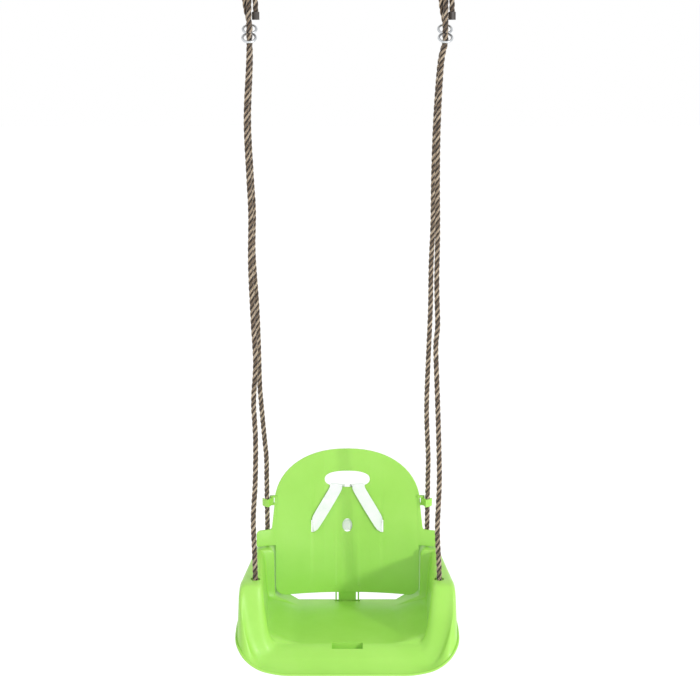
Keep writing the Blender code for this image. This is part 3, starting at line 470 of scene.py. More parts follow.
# backrest
RECLINE = math.radians(10.0)
PANEL_Y = 0.104            # front face of the panel's middle at floor level
PANEL_T = 0.004
PANEL_BEND_R = 0.500       # the panel curves round the sitter
PANEL_HALF = 0.1455
PANEL_TOP = 0.303
ARCH_Z = 0.195             # where the sides turn into the arched top
ARCH_FULLNESS = 0.88       # below 1 the arch and the grab hole are fuller than an ellipse
HOLE_FULLNESS = 0.80
LOWER_HALF = 0.1426        # half width between the rear posts
PANEL_BOTTOM = 0.0185
WING_HALF = 0.180
WING_TOP = 0.150
WING_ROOT = 0.150          # half width where the wings begin
HANDLE = (0.045, 0.016)    # grab hole, half width and half height
HANDLE_Z = 0.243
PEEP = (0.0100, 0.0133)    # oval hole, half width and half height
PEEP_Z = 0.1512
BELT_SLOT_X = 0.069
BELT_SLOT_Z = 0.151
BELT_SLOT = (0.0065, 0.0245)
TONGUE_HALF = 0.0175
TONGUE_Y = 0.1085          # front face of the tongue
TONGUE_T = 0.004
TONGUE_END = -0.018
TONGUE_TOP = 0.0235        # inside the panel's lower edge
RIB_X = 0.0225             # stiffening rib either side of the tongue
RIB_HALF = 0.0015
RIB_DEEP = 0.0070
RIB_TOP = 0.0340
SLOT_SIDE = 0.0012         # play of the tongue sideways
SLOT_FRONT = 0.0032        # play ahead of the tongue, for lifting along the ropes
SLOT_BACK = 0.0008
BRACKET_END = -0.024

# lugs for the rope clips, on the backrest
CLIP_Z = 0.207
PIN_X = 0.1504
PIN_R = 0.0015
KNUCKLE_H = 0.0120
LUG_T = 0.0034
LUG_R = 0.0038
LUG_HALF = 0.0030
LUG_ROOT_X = 0.1400

# belt
BELT_W = 0.021
BELT_T = 0.0014
BELT_OFF = 0.0008          # air between belt and panel
BELT_TOP_X = 0.0228        # middle of the belt where it crosses the grab hole's lower edge
BUCKLE = (0.031, BELT_W + 0.003, 0.0085)
BUCKLE_Z = 0.198
BUCKLE_SPLIT = 0.0040      # where the plug's shoulder meets the socket

# steel fittings
EYE_WIRE_R = 0.00225
RING_R = 0.028
RING_WIRE_R = 0.004
THIMBLE_HOLE_R = 0.0102
THIMBLE_FLANGE_R = 0.0205
THIMBLE_HALF_W = 0.0078


def arc(centre, radius, start, end, steps):
    """Points of an arc in a plane, angles in degrees; radius may be a pair for an ellipse."""
    rx, ry = radius if isinstance(radius, tuple) else (radius, radius)
    turns = [math.radians(lerp(start, end, i / steps)) for i in range(steps + 1)]
    return [(centre[0] + rx * math.cos(a), centre[1] + ry * math.sin(a)) for a in turns]


def full_arc(centre, radii, fullness, end, steps):
    """Like arc from angle 0, with fuller shoulders than an ellipse."""
    points = []
    for x, y in arc((0, 0), 1.0, 0, end, steps):
        points.append((centre[0] + radii[0] * math.copysign(abs(x) ** fullness, x),
                       centre[1] + radii[1] * math.copysign(abs(y) ** fullness, y)))
    return points


def side_section(y):
    """Right half section of the seat side at y, as points from the floor's edge out to the rim."""
    along = (y - ARM_FRONT) / (SEAT_BACK - ARM_FRONT)
    outer = lerp(OUTER_FRONT, OUTER_BACK, along)
    if y >= POST_BACK_FRONT:
        foot = POST_GAP_HALF - (POST_SHOULDER if y > FLOOR_BACK + GAP else 0.0)
        lean = 0.0015
    else:
        foot = lerp(RAIL_FOOT_FRONT, RAIL_FOOT_BACK, (y - ARM_FRONT) / (POST_BACK_FRONT - ARM_FRONT))
        lean = RAIL_LEAN
    floor_y = min(y, FLOOR_BACK)
    ledge_y = min(y, FLOOR_BACK + 0.010)
    rim = lerp(RIM_HALF, outer + 0.005, min(1.0, along * 1.4))
    points = [
        (FLOOR_HALF, floor_y, 0.0),
        (foot - 0.007, ledge_y, LEDGE_Z - 0.004),
        (foot, y, LEDGE_Z),
        (foot + lean, y, ARM_TOP - 0.012),
        (foot + lean + 0.003, y, ARM_TOP - 0.004),
        (foot + lean + 0.010, y, ARM_TOP - 0.0005),
        (outer - 0.010, y, ARM_TOP - 0.001),
        (outer - 0.003, y, ARM_TOP - 0.006),
        (outer, y, ARM_TOP - 0.015),
        (lerp(outer, rim, 0.6), y, lerp(ARM_TOP, RIM_SIDE_Z, 0.6)),
        (rim, y, RIM_SIDE_Z),
        (rim + RIM_ROLL, y, RIM_SIDE_Z - 0.001),
    ]
    return [Vector(p) for p in points]


def front_section():
    """The same points where the straight front edge begins: the roll from floor to rim."""
    reach = [0.000, 0.003, 0.006, 0.011, 0.016, 0.022, 0.029, 0.036, 0.042, 0.048, 0.055, 0.0575]
    fall = [0.000, 0.0003, 0.001, 0.003, 0.006, 0.0105, 0.0165, 0.0235, 0.0285, 0.0330, 0.0370, 0.0380]
    inner = [0.080, 0.090, 0.098]
    half = inner + [APRON_HALF] * (len(reach) - len(inner))
    return [Vector((x, FLOOR_FRONT - r, -f)) for x, r, f in zip(half, reach, fall)]


def corner_section(turn):
    """Section part way round the front corner; turn runs from 0 at the post to 1 at the front edge."""
    side, front = side_section(ARM_FRONT), front_section()
    angle = turn * math.pi / 2
    points = []
    for i, (s, f) in enumerate(zip(side, front)):
        round_off = (1.0, 0.73, 0.46, 0.46, 0.46, 0.46, 0.46, 0.46, 0.50, 0.55, 0.55, 0.55)[i]
        x = f.x + (s.x - f.x) * math.cos(angle) ** round_off
        y = s.y + (f.y - s.y) * math.sin(angle) ** round_off
        steep = (1.0, 1.5, 1.7, 2.6, 2.9, 3.0, 3.0, 2.9, 2.7, 0, 0, 0)[i]
        z = f.z + (s.z - f.z) * math.cos(angle) ** steep
        points.append(Vector((x, y, z)))
    rim_z = RIM_HEIGHTS[TURNS.index(turn)]
    points[-2].z = rim_z
    points[-1].z = rim_z - 0.001
    wall = points[-4]
    points[-3] = Vector((lerp(wall.x, points[-2].x, 0.6), lerp(wall.y, points[-2].y, 0.6),
                         lerp(wall.z, rim_z, 0.62)))
    return points


def seat_sections():
    """All right half sections, from the rear end to the middle of the front edge."""
    step = POST_SLANT
    rear = [SEAT_BACK, 0.128, FLOOR_BACK, 0.100, POST_BACK_FRONT]
    rail = [POST_BACK_FRONT - step, 0.062, 0.030, -0.005, -0.040, -0.066]
    sections = [side_section(y) for y in rear + rail]
    sections += [corner_section(turn) for turn in TURNS]
    front = front_section()
    for share in (1.0, 0.66, 0.33):
        sections.append([Vector((p.x * share, p.y, p.z)) for p in front])
    return sections


def bend(x):
    return PANEL_BEND_R - math.sqrt(PANEL_BEND_R ** 2 - x * x)


def panel_front(x, z):
    return PANEL_Y + z * math.tan(RECLINE) - bend(x)


def panel_back(x, z):
    return panel_front(x, z) + PANEL_T / math.cos(RECLINE)


def panel_outline():
    """Right half of the panel's outline as (x, z), from the bottom middle to the top middle."""
    wing_z = ARM_TOP + 0.0015
    points = arc((LOWER_HALF - 0.020, PANEL_BOTTOM + 0.020), 0.020, -90, 0, 5)
    points += [(LOWER_HALF, wing_z)]
    points += arc((WING_HALF - 0.003, wing_z + 0.003), 0.003, -90, 0, 2)
    points += arc((WING_HALF - 0.007, WING_TOP - 0.007), 0.007, 0, 90, 4)
    points += arc((WING_ROOT + 0.005, WING_TOP + 0.005), 0.005, -90, -180, 3)
    points += full_arc((0.0, ARCH_Z), (PANEL_HALF, PANEL_TOP - ARCH_Z), ARCH_FULLNESS, 90, 16)
    return points


def lift_direction():
    return (rear_rope_point(1.0) - rear_rope_point(0.0)).normalized()


def pin_point():
    """Middle of the right clip's pin, in seat coordinates."""
    return Vector((PIN_X, panel_front(PANEL_HALF, CLIP_Z) + PANEL_T / 2, CLIP_Z))


def clip_frame(side):
    """Matrix from clip coordinates (x outwards, y back, z along the pin) to the world."""
    up = lift_direction()
    out = Vector((1, 0, 0))
    back = up.cross(out)
    turn = Matrix((out, back, up)).transposed()
    pin = pin_point()
    place = Matrix.Translation(seat_to_world(pin.x, pin.y, pin.z)) @ turn.to_4x4()
    return Matrix.Diagonal((side, 1, 1, 1)) @ place


def hole_edge(x):
    """Height of the grab hole's lower edge."""
    share = min(1.0, abs(x) / HANDLE[0]) ** (1 / HOLE_FULLNESS)
    return HANDLE_Z - HANDLE[1] * (1 - share * share) ** (HOLE_FULLNESS / 2)


def belt_half(side):
    """Edge pairs of half the belt, from the middle behind the panel to the buckle."""
    half = BELT_W / 2
    lift = BELT_OFF + BELT_T / 2
    rings = []

    def ring(one, two):
        one, two = Vector(one), Vector(two)
        one.x *= side
        two.x *= side
        rings.append((seat_to_world(*one), seat_to_world(*two)))

    z = BELT_SLOT_Z
    for x in (0.0, 0.022, 0.043, 0.061):
        y = panel_back(x, z) + lift
        rise = half * math.tan(RECLINE)
        ring((x, y - rise, z - half), (x, y + rise, z + half))
    x = BELT_SLOT_X
    y = panel_back(x, z)
    ring((x - 0.0010, y + 0.0012, z - half), (x - 0.0010, y + 0.0046, z + half))
    ring((x, y - 0.0040, z - half), (x, y - 0.0005, z + half))
    y = panel_front(x, z)
    ring((x - 0.0020, y - 0.0048, z - half + 0.0005), (x + 0.0008, y - 0.0032, z + half + 0.0010))
    ring((0.0600, panel_front(0.060, 0.145) - 0.0040, 0.1450),
         (0.0700, panel_front(0.070, 0.169) - 0.0030, 0.1690))
    across = BELT_W / 2 / math.cos(math.radians(31.0))
    low = [(x, hole_edge(x) + 0.0010 - 0.004) for x in (BELT_TOP_X - across, BELT_TOP_X + across)]
    ring(*[(x, panel_front(x, z) - lift - 0.0010, z) for x, z in low])
    radius = PANEL_T / 2 + lift
    for i in range(5):
        turn = math.radians(lerp(10, 170, i / 4))
        mid = BELT_TOP_X - radius * turn * math.tan(math.radians(31.0))
        pair = []
        for x in (mid - across, mid + across):
            edge = hole_edge(x) + 0.0010
            y = (panel_front(x, edge) + panel_back(x, edge)) / 2 - radius * math.cos(turn) * 1.02
            pair.append((x, y, edge + radius * math.sin(turn) + 0.0004))
        ring(*pair)
    top = rings[-1][0].z + HANG_HEIGHT
    end_x, bottom = BUCKLE[0] / 2 + 0.0010, BUCKLE_Z - half * 0.92
    for share in (0.35, 0.7, 1.0):
        upper = lerp(top - 0.004, BUCKLE_Z + half * 0.92, share)
        inner = Vector((lerp(0.0035, end_x, share ** 0.5), 0, upper))
        outer = Vector((lerp(0.0270, end_x, share ** 1.6), 0, lerp(top - 0.004, bottom, share ** 0.8)))
        for p in (inner, outer):
            p.y = panel_back(p.x, p.z) + lift + 0.0022 * share
        ring(inner, outer)
    return rings


# %% [markdown]
# Small helpers for shapes. A surface starts as a flat grid whose points are laid on refined rows. A solid
# that needs holes is cut by Booleans, whose result is kept as a plain mesh.

# %% Modelling helpers
def keep_slope(before, after):
    """Slope of a smooth curve that never overshoots its points."""
    return 2 * before * after / (before + after) if before * after > 0 else 0.0


def refine(points, steps, straight=0):
    """A smooth row through a row of points, with steps between each two and the first moves straight."""
    rows = [Vector(p) for p in points]
    moves = [b - a for a, b in zip(rows, rows[1:])]
    slopes = [moves[0]]
    slopes += [Vector([keep_slope(a[k], b[k]) for k in range(3)]) for a, b in zip(moves, moves[1:])]
    slopes.append(moves[-1])
    smooth = []
    for i, move in enumerate(moves):
        for step in range(steps):
            t = step / steps
            if i < straight:
                smooth.append(rows[i] + move * t)
                continue
            smooth.append(rows[i] + move * (3 * t ** 2 - 2 * t ** 3)
                          + slopes[i] * (t ** 3 - 2 * t ** 2 + t) + slopes[i + 1] * (t ** 3 - t ** 2))
    return smooth + [rows[-1]]


def refine_grid(rows, along, across, straight=0):
    rows = [refine(row, across, straight) for row in rows]
    columns = [refine(column, along) for column in zip(*rows)]
    return [list(row) for row in zip(*columns)]


def lay_grid(bm, grid):
    """A grid of faces on the given rows of points, and its vertices in the same rows."""
    rows, columns = len(grid), len(grid[0])
    made = bmesh.ops.create_grid(bm, x_segments=rows - 1, y_segments=columns - 1, size=0.5)["verts"]
    laid = [[None] * columns for _ in range(rows)]
    for vert in made:
        i, j = round((vert.co.x + 0.5) * (rows - 1)), round((vert.co.y + 0.5) * (columns - 1))
        laid[i][j] = vert
    for row, points in zip(laid, grid):
        for vert, point in zip(row, points):
            vert.co = point
    return laid


def new_object(name, bm, material, sharp=35.0):
    mesh = bpy.data.meshes.new(name)
    bm.to_mesh(mesh)
    bm.free()
    mesh.materials.append(material)
    mesh.shade_smooth()
    mesh.set_sharp_from_angle(angle=math.radians(sharp))
    piece = bpy.data.objects.new(name, mesh)
    bpy.context.scene.collection.objects.link(piece)
    return piece


def prism(bm, outline, lift):
    """A closed solid: the outline swept along the lift vector."""
    face = bm.faces.new([bm.verts.new(p) for p in outline])
    swept = bmesh.ops.extrude_face_region(bm, geom=[face])
    bmesh.ops.translate(bm, verts=[v for v in swept["geom"] if isinstance(v, bmesh.types.BMVert)], vec=lift)


def box(bm, low, high):
    low, high = Vector(low), Vector(high)
    verts = bmesh.ops.create_cube(bm, size=1.0)["verts"]
    size = Matrix.Diagonal((*(high - low), 1.0))
    bmesh.ops.transform(bm, matrix=Matrix.Translation((low + high) / 2) @ size, verts=verts)


def rod(bm, start, end, radius, segments=32):
    start, end = Vector(start), Vector(end)
    turn = (end - start).to_track_quat("Z", "Y").to_matrix().to_4x4()
    bmesh.ops.create_cone(bm, cap_ends=True, segments=segments, radius1=radius, radius2=radius,
                          depth=(end - start).length, matrix=Matrix.Translation((start + end) / 2) @ turn)


def carve(piece, bm, operation="DIFFERENCE", folded=False):
    """Cut or join a shape at once and keep the plain result; a folded piece may touch itself."""
    bmesh.ops.recalc_face_normals(bm, faces=bm.faces)
    tool = new_object("tool", bm, piece.data.materials[0])
    step = piece.modifiers.new("carve", "BOOLEAN")
    step.operation = operation
    step.object = tool
    step.use_self = folded
    bake(piece)
    bpy.data.objects.remove(tool)


def bake(piece):
    """Replace a piece's mesh by what its modifiers make of it."""
    graph = bpy.context.evaluated_depsgraph_get()
    mesh = bpy.data.meshes.new_from_object(piece.evaluated_get(graph))
    piece.modifiers.clear()
    piece.data = mesh


def finish_piece(piece, body, node, sharp=35.0):
    piece.data.shade_smooth()
    piece.data.set_sharp_from_angle(angle=math.radians(sharp))
    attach(piece, body)
    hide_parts(node)
    print(f"{piece.name}: {len(piece.data.polygons)} faces")


# %% [markdown]
# The seat is one sheet of plastic: floor, inner walls, arm rests, outer walls and rim. A row of the grid runs
# from the middle of the floor out to the rim, and the rows go round the seat.

# %% Seat shell
FINE = 4                   # fine steps between two points of the sections
FLOOR_STEPS = 8            # from the middle of the floor to its edge


def seat_rows():
    """The fine rows of the seat, each from the middle of the floor out to the rim."""
    sections = seat_sections()
    sections.append([Vector((0.0, p.y, p.z)) for p in sections[-1]])
    right = refine_grid(sections, FINE, FINE, straight=2)
    left = [[Vector((-p.x, p.y, p.z)) for p in row] for row in right[-2::-1]]
    rows = []
    for row in right + left:
        edge = row[0]
        middle = Vector((0.0, max(edge.y, ARM_FRONT), 0.0))
        rows.append([middle.lerp(edge, share / FLOOR_STEPS) for share in range(FLOOR_STEPS)] + row)
    return rows


def fine_shell():
    bm = bmesh.new()
    rows = lay_grid(bm, seat_rows())
    for row in (rows[0], rows[-1]):
        bm.faces.new(row[FLOOR_STEPS + 2 * FINE:])
    bmesh.ops.remove_doubles(bm, verts=bm.verts, dist=0.00002)
    bmesh.ops.dissolve_degenerate(bm, edges=bm.edges, dist=0.00002)
    back = [e for e in bm.edges if e.is_boundary
            and all(abs(v.co.y - FLOOR_BACK) < 0.0001 and v.co.z < 0.001 for v in e.verts)]
    lip = bmesh.ops.extrude_edge_only(bm, edges=back)
    down = [v for v in lip["geom"] if isinstance(v, bmesh.types.BMVert)]
    bmesh.ops.translate(bm, verts=down, vec=(0.0, 0.001, -REAR_LIP))
    bmesh.ops.recalc_face_normals(bm, faces=bm.faces)
    bm.faces.ensure_lookup_table()
    floor_face = min(bm.faces, key=lambda f: (f.calc_center_median() - Vector((0.03, 0.0, 0.0))).length)
    if floor_face.normal.z < 0:
        bmesh.ops.reverse_faces(bm, faces=bm.faces)
    bmesh.ops.translate(bm, verts=bm.verts, vec=seat_to_world(0, 0, 0))
    shell = new_object("moulded_seat", bm, GREEN)
    wall = shell.modifiers.new("wall", "SOLIDIFY")
    wall.thickness = WALL
    wall.offset = -1.0
    wall.use_quality_normals = True
    bake(shell)
    return shell


def cut_shell(shell):
    half, deep = BAR_SLOT[0] / 2, BAR_SLOT[1] / 2
    skin = [(p.y, p.z - WALL / 2) for p in front_section()]
    front, back = BAR_SLOT_Y - deep - SOCKET_WALL, BAR_SLOT_Y + deep + SOCKET_WALL
    top = [(back, -WALL / 2)] + [p for p in skin if front < p[0] < back]
    outline = top + [(front, top[-1][1] - 0.002), (front, -BAR_SLOT_DEPTH), (back, -BAR_SLOT_DEPTH)]
    slot_half = RIB_X + RIB_HALF + SLOT_SIDE
    slot_front, slot_back = TONGUE_Y - SLOT_FRONT, TONGUE_Y + RIB_DEEP + SLOT_BACK
    bm = bmesh.new()
    reach = half + SOCKET_WALL
    prism(bm, [seat_to_world(-reach, y, z) for y, z in outline], (2 * reach, 0, 0))
    box(bm, seat_to_world(-slot_half - SOCKET_WALL, slot_front - SOCKET_WALL, BRACKET_END),
        seat_to_world(slot_half + SOCKET_WALL, slot_back + SOCKET_WALL, -WALL / 2))
    carve(shell, bm, "UNION", folded=True)
    bm = bmesh.new()
    box(bm, seat_to_world(-half, BAR_SLOT_Y - deep, -0.060), seat_to_world(half, BAR_SLOT_Y + deep, 0.020))
    box(bm, seat_to_world(-slot_half, slot_front, -0.060), seat_to_world(slot_half, slot_back, 0.020))
    for side in HALVES.values():
        for x, y in (FRONT_HOLE, REAR_HOLE):
            rod(bm, seat_to_world(side * x, y, ARM_TOP - 0.030), seat_to_world(side * x, y, ARM_TOP + 0.020),
                ROPE_HOLE_R)
    carve(shell, bm, folded=True)


BEAD_R = 0.0023


def rim_bead():
    """The rolled edge along the rim, from one rear end round the front to the other."""
    curve = bpy.data.curves.new("rim_bead", "CURVE")
    curve.dimensions = "3D"
    curve.bevel_depth = BEAD_R
    curve.bevel_resolution = 3
    curve.use_fill_caps = True
    rim = [row[-3] + Vector((0, 0, -0.0012)) for row in seat_rows()]
    spline = curve.splines.new("POLY")
    spline.points.add(len(rim) - 1)
    for slot, p in zip(spline.points, rim):
        slot.co = (*seat_to_world(*p), 1.0)
    holder = bpy.data.objects.new("rim_bead", curve)
    mesh = bpy.data.meshes.new_from_object(holder)
    bpy.data.objects.remove(holder)
    mesh.materials.clear()
    mesh.materials.append(GREEN)
    mesh.shade_smooth()
    bead = bpy.data.objects.new("rim_bead", mesh)
    bpy.context.scene.collection.objects.link(bead)
    return bead


shell = fine_shell()
cut_shell(shell)
finish_piece(shell, "seat", "seat_shell")
bead = rim_bead()
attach(bead, "seat")

# %% [markdown]
# The backrest is a thin panel that curves round the child, cut to its outline, with rounded edges. Its
# tongue and ribs go down into the seat, and two small lugs on each side carry the rope clips.

# %% Backrest
THROUGH = (0, 0.30, 0)     # deep enough to cut right through the panel
EDGE_R = 0.0011            # rounding of the panel's edges


def fine_panel():
    reach, low, high = WING_HALF + 0.006, PANEL_BOTTOM - 0.010, PANEL_TOP + 0.010
    sheet = [lerp(-reach, reach, i / 64) for i in range(65)]
    bm = bmesh.new()
    lay_grid(bm, [[seat_to_world(x, panel_front(x, z), z) for z in (low, high)] for x in sheet])
    swept = bmesh.ops.extrude_face_region(bm, geom=list(bm.faces))
    moved = [v for v in swept["geom"] if isinstance(v, bmesh.types.BMVert)]
    bmesh.ops.translate(bm, verts=moved, vec=(0, PANEL_T / math.cos(RECLINE), 0))
    bmesh.ops.recalc_face_normals(bm, faces=bm.faces)
    panel = new_object("moulded_backrest", bm, GREEN)
    half = panel_outline()
    bm = bmesh.new()
    outline = half + [(-x, z) for x, z in half[-2::-1]]
    prism(bm, [seat_to_world(x, 0.0, z) for x, z in outline], THROUGH)
    carve(panel, bm, "INTERSECT")
    bm = bmesh.new()
    grab = full_arc((0.0, HANDLE_Z), HANDLE, HOLE_FULLNESS, 360, 64)[:-1]
    peep = arc((0.0, PEEP_Z), PEEP, 0, 360, 48)[:-1]
    for hole in (grab, peep):
        prism(bm, [seat_to_world(x, 0.0, z) for x, z in hole], THROUGH)
    for side in HALVES.values():
        x, w, h = side * BELT_SLOT_X, BELT_SLOT[0] / 2, BELT_SLOT[1] / 2
        box(bm, seat_to_world(x - w, 0, BELT_SLOT_Z - h), seat_to_world(x + w, 0.30, BELT_SLOT_Z + h))
    carve(panel, bm)
    edge = panel.modifiers.new("edge", "BEVEL")
    edge.width = EDGE_R
    edge.segments = 3
    edge.limit_method = "ANGLE"
    edge.angle_limit = math.radians(50.0)
    edge.use_clamp_overlap = False
    bake(panel)
    return panel


def add_tongue(panel):
    bm = bmesh.new()
    box(bm, seat_to_world(-TONGUE_HALF, TONGUE_Y, TONGUE_END),
        seat_to_world(TONGUE_HALF, TONGUE_Y + TONGUE_T, TONGUE_TOP))
    carve(panel, bm, "UNION")
    for side in HALVES.values():
        x = side * RIB_X
        bm = bmesh.new()
        box(bm, seat_to_world(x - RIB_HALF, TONGUE_Y, TONGUE_END),
            seat_to_world(x + RIB_HALF, TONGUE_Y + RIB_DEEP, RIB_TOP))
        carve(panel, bm, "UNION")
    bm = bmesh.new()
    box(bm, seat_to_world(-RIB_X - 0.0005, TONGUE_Y + 0.0005, TONGUE_END + 0.002),
        seat_to_world(RIB_X + 0.0005, TONGUE_Y + TONGUE_T - 0.0005, -0.004))
    carve(panel, bm, "UNION")


def add_lugs(panel, side):
    frame_at = clip_frame(side)
    low, high = KNUCKLE_H / 2 + GAP, KNUCKLE_H / 2 + GAP + LUG_T
    root = LUG_ROOT_X - PIN_X
    outline = [(root, -LUG_HALF)] + arc((0, 0), LUG_R, -90, 90, 16) + [(root, LUG_HALF)]
    bm = bmesh.new()
    for start in (low, -high):
        prism(bm, [Vector((x, y, start)) for x, y in outline], (0, 0, LUG_T))
    bmesh.ops.transform(bm, matrix=frame_at, verts=bm.verts)
    carve(panel, bm, "UNION")
    bm = bmesh.new()
    rod(bm, (0, 0, -high - 0.002), (0, 0, high + 0.002), PIN_R + GAP, 20)
    bmesh.ops.transform(bm, matrix=frame_at, verts=bm.verts)
    carve(panel, bm)


panel = fine_panel()
add_tongue(panel)
for side in HALVES.values():
    add_lugs(panel, side)
finish_piece(panel, "backrest", "backrest_panel")

# %% [markdown]
# The belt is a woven white strap. It crosses behind the backrest, comes forward through two slots, runs up
# to the grab hole and goes back through it to the buckle. The weave is in the material, on the strap's own
# UV map in metres: U along the strap, V across it.

# %% Belt
def webbing_material():
    recipe = Recipe("white_webbing", roughness=0.8, specular=0.3)
    split = recipe.node("SeparateXYZ", {"Vector": recipe.coordinates("UV")})
    along, across = split.outputs[0], split.outputs[1]

    def scaled(value, factor, shift=None):
        node = recipe.node("Math", {0: value}, operation="MULTIPLY_ADD")
        node.inputs[1].default_value = factor
        node.inputs[2].default_value = 0.0
        if shift is not None:
            recipe.links.new(shift, node.inputs[2])
        return node.outputs[0]

    def wave(value):
        node = recipe.node("Math", {0: value}, operation="PINGPONG")
        node.inputs[1].default_value = 0.5
        return node.outputs[0]

    rib = wave(scaled(across, 900.0))
    pick = wave(scaled(along, 520.0, rib))
    weave = recipe.mix(0.5, rib, pick)
    soil = recipe.noise(recipe.coordinates("Object"), 55.0, 4.0)
    base = recipe.ramp(soil, [(0.30, (0.80, 0.84, 0.82)), (0.70, (0.89, 0.92, 0.90))])
    shade = recipe.ramp(weave, [(0.05, (0.72, 0.76, 0.74)), (0.35, (1.0, 1.0, 1.0))])
    recipe.paint(recipe.mix(1.0, base, shade, "MULTIPLY"))
    recipe.bump(weave, 0.6, 0.0006)
    recipe.shader.inputs["Sheen Weight"].default_value = 0.3
    return recipe.material


def fine_belt():
    left, right = belt_half(-1), belt_half(1)
    rings = left[::-1] + right[1:]
    rows = [[low.lerp(high, share / 4) for share in range(5)] for low, high in rings]
    rows = refine_grid(rows, 6, 1)
    run = [0.0]
    for one, two in zip(rows, rows[1:]):
        run.append(run[-1] + (two[2] - one[2]).length)
    bm = bmesh.new()
    laid = lay_grid(bm, rows)
    uv = bm.loops.layers.uv.new("UVMap")
    place = {vert: (run[i], j / 4 * BELT_W) for i, row in enumerate(laid) for j, vert in enumerate(row)}
    for face in bm.faces:
        for loop in face.loops:
            loop[uv].uv = place[loop.vert]
    strap = new_object("woven_belt", bm, webbing_material())
    body = strap.modifiers.new("body", "SOLIDIFY")
    body.thickness = BELT_T
    body.offset = 0.0
    bake(strap)
    print(f"belt: {run[-1]:.3f} m of strap")
    return strap, run[-1]


belt, belt_length = fine_belt()
finish_piece(belt, "backrest", "belt_webbing", 60.0)

# %% [markdown]
# The steel pieces are turned again with smooth sections: the two welded eyes of each adjuster, the hanging
# rings and the thimbles.

# %% Steel fittings
def turned(bm, profile, centre, axis, segments=64):
    """Spin a closed profile of (radius, offset along the axis) points round an axis."""
    axis = Vector(axis)
    side = axis.orthogonal().normalized()
    centre = Vector(centre)
    verts = [bm.verts.new(centre + side * r + axis * h) for r, h in profile]
    edges = [bm.edges.new((verts[i], verts[(i + 1) % len(verts)])) for i in range(len(verts))]
    bmesh.ops.spin(bm, geom=verts + edges, cent=centre, axis=axis, angle=math.tau, steps=segments,
                   use_merge=True)


def wire_circle(radius, wire, sides=20):
    return [(radius + wire * math.cos(math.tau * i / sides), wire * math.sin(math.tau * i / sides))
            for i in range(sides)]


def steel_piece(name, bm, body, node):
    bmesh.ops.recalc_face_normals(bm, faces=bm.faces)
    finish_piece(new_object(name, bm, STEEL), body, node, 40.0)


for word, side in HALVES.items():
    middle = Vector((side * HANG_HALF_SPAN, 0, 0))
    centre = middle + Vector((0, 0, ADJUSTER_Z - HANG_HEIGHT))
    along = Vector((0, math.cos(EYE_TILT), math.sin(EYE_TILT)))
    normal = Vector((0, -math.sin(EYE_TILT), math.cos(EYE_TILT)))
    bm = bmesh.new()
    for shift in (-1, 1):
        turned(bm, wire_circle(EYE_R, EYE_WIRE_R), centre + along * EYE_R * shift, normal)
    steel_piece(f"welded_adjuster_{word}", bm, "seat", f"adjuster_{word}")
    bm = bmesh.new()
    turned(bm, wire_circle(RING_R, RING_WIRE_R), middle + Vector((0, 0, RING_R)), (0, 1, 0), 80)
    steel_piece(f"welded_ring_{word}", bm, "hanger", f"hang_ring_{word}")
    seat_r = ROPE_D / 2 + 3 * GAP
    turns = [math.radians(-70 + 10 * i) for i in range(15)]
    groove = [(BEND_R - seat_r * math.cos(a), seat_r * math.sin(a)) for a in turns]
    edge = THIMBLE_HALF_W
    profile = [(THIMBLE_HOLE_R, -edge + 0.0008), (THIMBLE_HOLE_R + 0.0008, -edge),
               (THIMBLE_FLANGE_R - 0.0005, -edge), (THIMBLE_FLANGE_R, -edge + 0.0005),
               (THIMBLE_FLANGE_R, -edge + 0.0012)]
    profile += groove + [(r, -h) for r, h in profile[::-1]]
    bm = bmesh.new()
    turned(bm, profile, middle - Vector((0, 0, THIMBLE_DROP)), (1, 0, 0))
    steel_piece(f"pressed_thimble_{word}", bm, "seat", f"thimble_{word}")

# %% [markdown]


# %% [markdown]
# The buckle behind the backrest has rounded edges, a raised middle on its socket and grip ribs on its plug.

# %% Buckle
def rounded(bm, low, high, radius):
    """A box with rounded edges."""
    start = len(bm.edges)
    box(bm, low, high)
    bm.edges.ensure_lookup_table()
    bmesh.ops.bevel(bm, geom=bm.edges[start:], offset=radius, affect="EDGES", segments=3,
                    profile=0.5, material=-1)


wide, tall, deep = (d / 2 for d in BUCKLE)
face = panel_back(0.0, BUCKLE_Z + tall) + 0.0012
bm = bmesh.new()
rounded(bm, seat_to_world(-wide, face, BUCKLE_Z - tall),
        seat_to_world(BUCKLE_SPLIT, face + 2 * deep, BUCKLE_Z + tall), 0.0011)
socket = new_object("side_release_socket", bm, WHITE)
bm = bmesh.new()
for end in (-1, 1):
    notch = BUCKLE_Z + end * tall * 0.99
    rounded(bm, seat_to_world(-wide * 0.55, face + deep * 0.5, notch - 0.0022),
            seat_to_world(BUCKLE_SPLIT * 0.6, face + deep * 1.5, notch + 0.0022), 0.0008)
carve(socket, bm)
bm = bmesh.new()
rounded(bm, seat_to_world(-wide * 0.7, face + 2 * deep - 0.0006, BUCKLE_Z - tall * 0.5),
        seat_to_world(BUCKLE_SPLIT * 0.2, face + 2 * deep + 0.0005, BUCKLE_Z + tall * 0.5), 0.0004)
carve(socket, bm, "UNION")
finish_piece(socket, "backrest", "buckle_socket")
bm = bmesh.new()
rounded(bm, seat_to_world(BUCKLE_SPLIT + GAP, face + 0.0012, BUCKLE_Z - tall + 0.0012),
        seat_to_world(wide, face + 2 * deep - 0.0012, BUCKLE_Z + tall - 0.0012), 0.0009)
plug = new_object("side_release_plug", bm, WHITE)
bm = bmesh.new()
for rib in range(4):
    x = BUCKLE_SPLIT + 0.0030 + rib * 0.0018
    rounded(bm, seat_to_world(x, face + 2 * deep - 0.0018, BUCKLE_Z - tall * 0.6),
            seat_to_world(x + 0.0009, face + 2 * deep - 0.0006, BUCKLE_Z + tall * 0.6), 0.0002)
carve(plug, bm, "UNION")
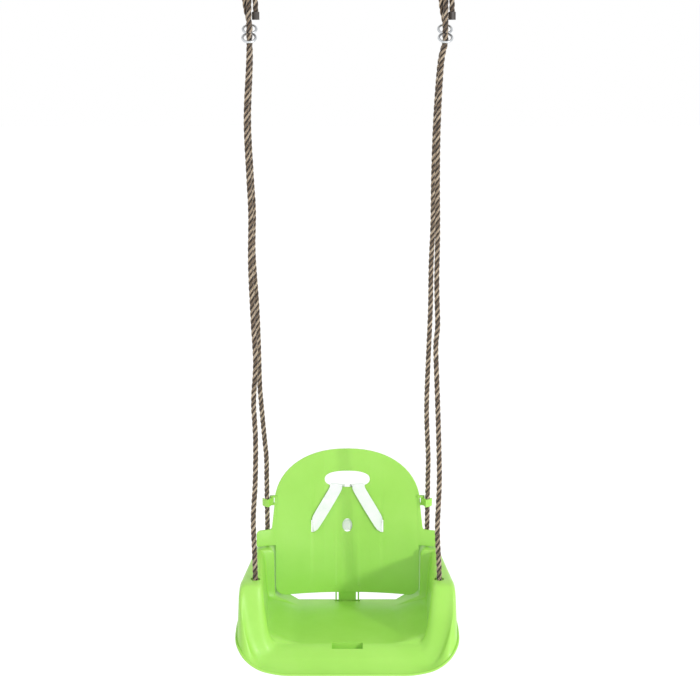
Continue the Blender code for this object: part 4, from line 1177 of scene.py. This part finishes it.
finish_piece(plug, "backrest", "buckle_plug")

# %% [markdown]
# The remaining frame pieces keep their own shape and get their materials here.

# %% Materials on the frame's own nodes
def dark_plastic():
    recipe = Recipe("dark_plastic", roughness=0.42, coat=0.1)
    place = recipe.coordinates()
    cloudy = recipe.noise(place, 80.0)
    recipe.paint(recipe.ramp(cloudy, [(0.3, (0.028, 0.022, 0.019)), (0.7, (0.050, 0.040, 0.033))]))
    recipe.bump(recipe.noise(place, 800.0), 0.10, 0.0003)
    return recipe.material


DARK = dark_plastic()
for name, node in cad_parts.items():
    node.data.materials.clear()
    if name in ("seat_shell", "backrest_panel") or name.startswith("rope_clip"):
        node.data.materials.append(GREEN)
    elif name.startswith(("hang_ring", "thimble", "rope_sleeve", "adjuster", "clip_pin")):
        node.data.materials.append(STEEL)
    elif name.startswith("rope_end_cap"):
        node.data.materials.append(DARK)
    else:
        node.data.materials.append(WHITE)

# %% [markdown]
# A large pale floor under a white sky and one lamp from the upper right in front give the seat its clear
# bright green and the soft shadow on the backrest.

# %% Floor and light
FLOOR_Z = -1.80
bm = bmesh.new()
bmesh.ops.create_grid(bm, x_segments=2, y_segments=2, size=30.0)
bmesh.ops.translate(bm, verts=bm.verts, vec=(0, 0, FLOOR_Z))
floor_mesh = bpy.data.meshes.new("floor")
bm.to_mesh(floor_mesh)
bm.free()
floor = bpy.data.objects.new("floor", floor_mesh)
bpy.context.scene.collection.objects.link(floor)
pale = Recipe("pale_floor", roughness=0.9)
pale.shader.inputs["Base Color"].default_value = (0.95, 0.95, 0.95, 1.0)
pale.shader.inputs["Emission Color"].default_value = (1.0, 1.0, 1.0, 1.0)
pale.shader.inputs["Emission Strength"].default_value = 0.12
floor_mesh.materials.append(pale.material)

world = bpy.data.worlds.new("world")
bpy.context.scene.world = world
world.use_nodes = True
world.node_tree.nodes["Background"].inputs["Color"].default_value = (1.0, 1.0, 1.0, 1.0)
world.node_tree.nodes["Background"].inputs["Strength"].default_value = 1.0
bpy.context.scene.view_settings.view_transform = "Standard"


def area_light(name, place, aim, size, power):
    data = bpy.data.lights.new(name, "AREA")
    data.size = size
    data.energy = power
    light = bpy.data.objects.new(name, data)
    light.location = place
    light.rotation_euler = (Vector(aim) - Vector(place)).to_track_quat("-Z", "Y").to_euler()
    bpy.context.scene.collection.objects.link(light)


SEAT_CENTRE = (0.0, 0.0, -1.20)
area_light("key_light", place=(2.02, -2.30, -0.31), aim=SEAT_CENTRE, size=0.22, power=42.0)
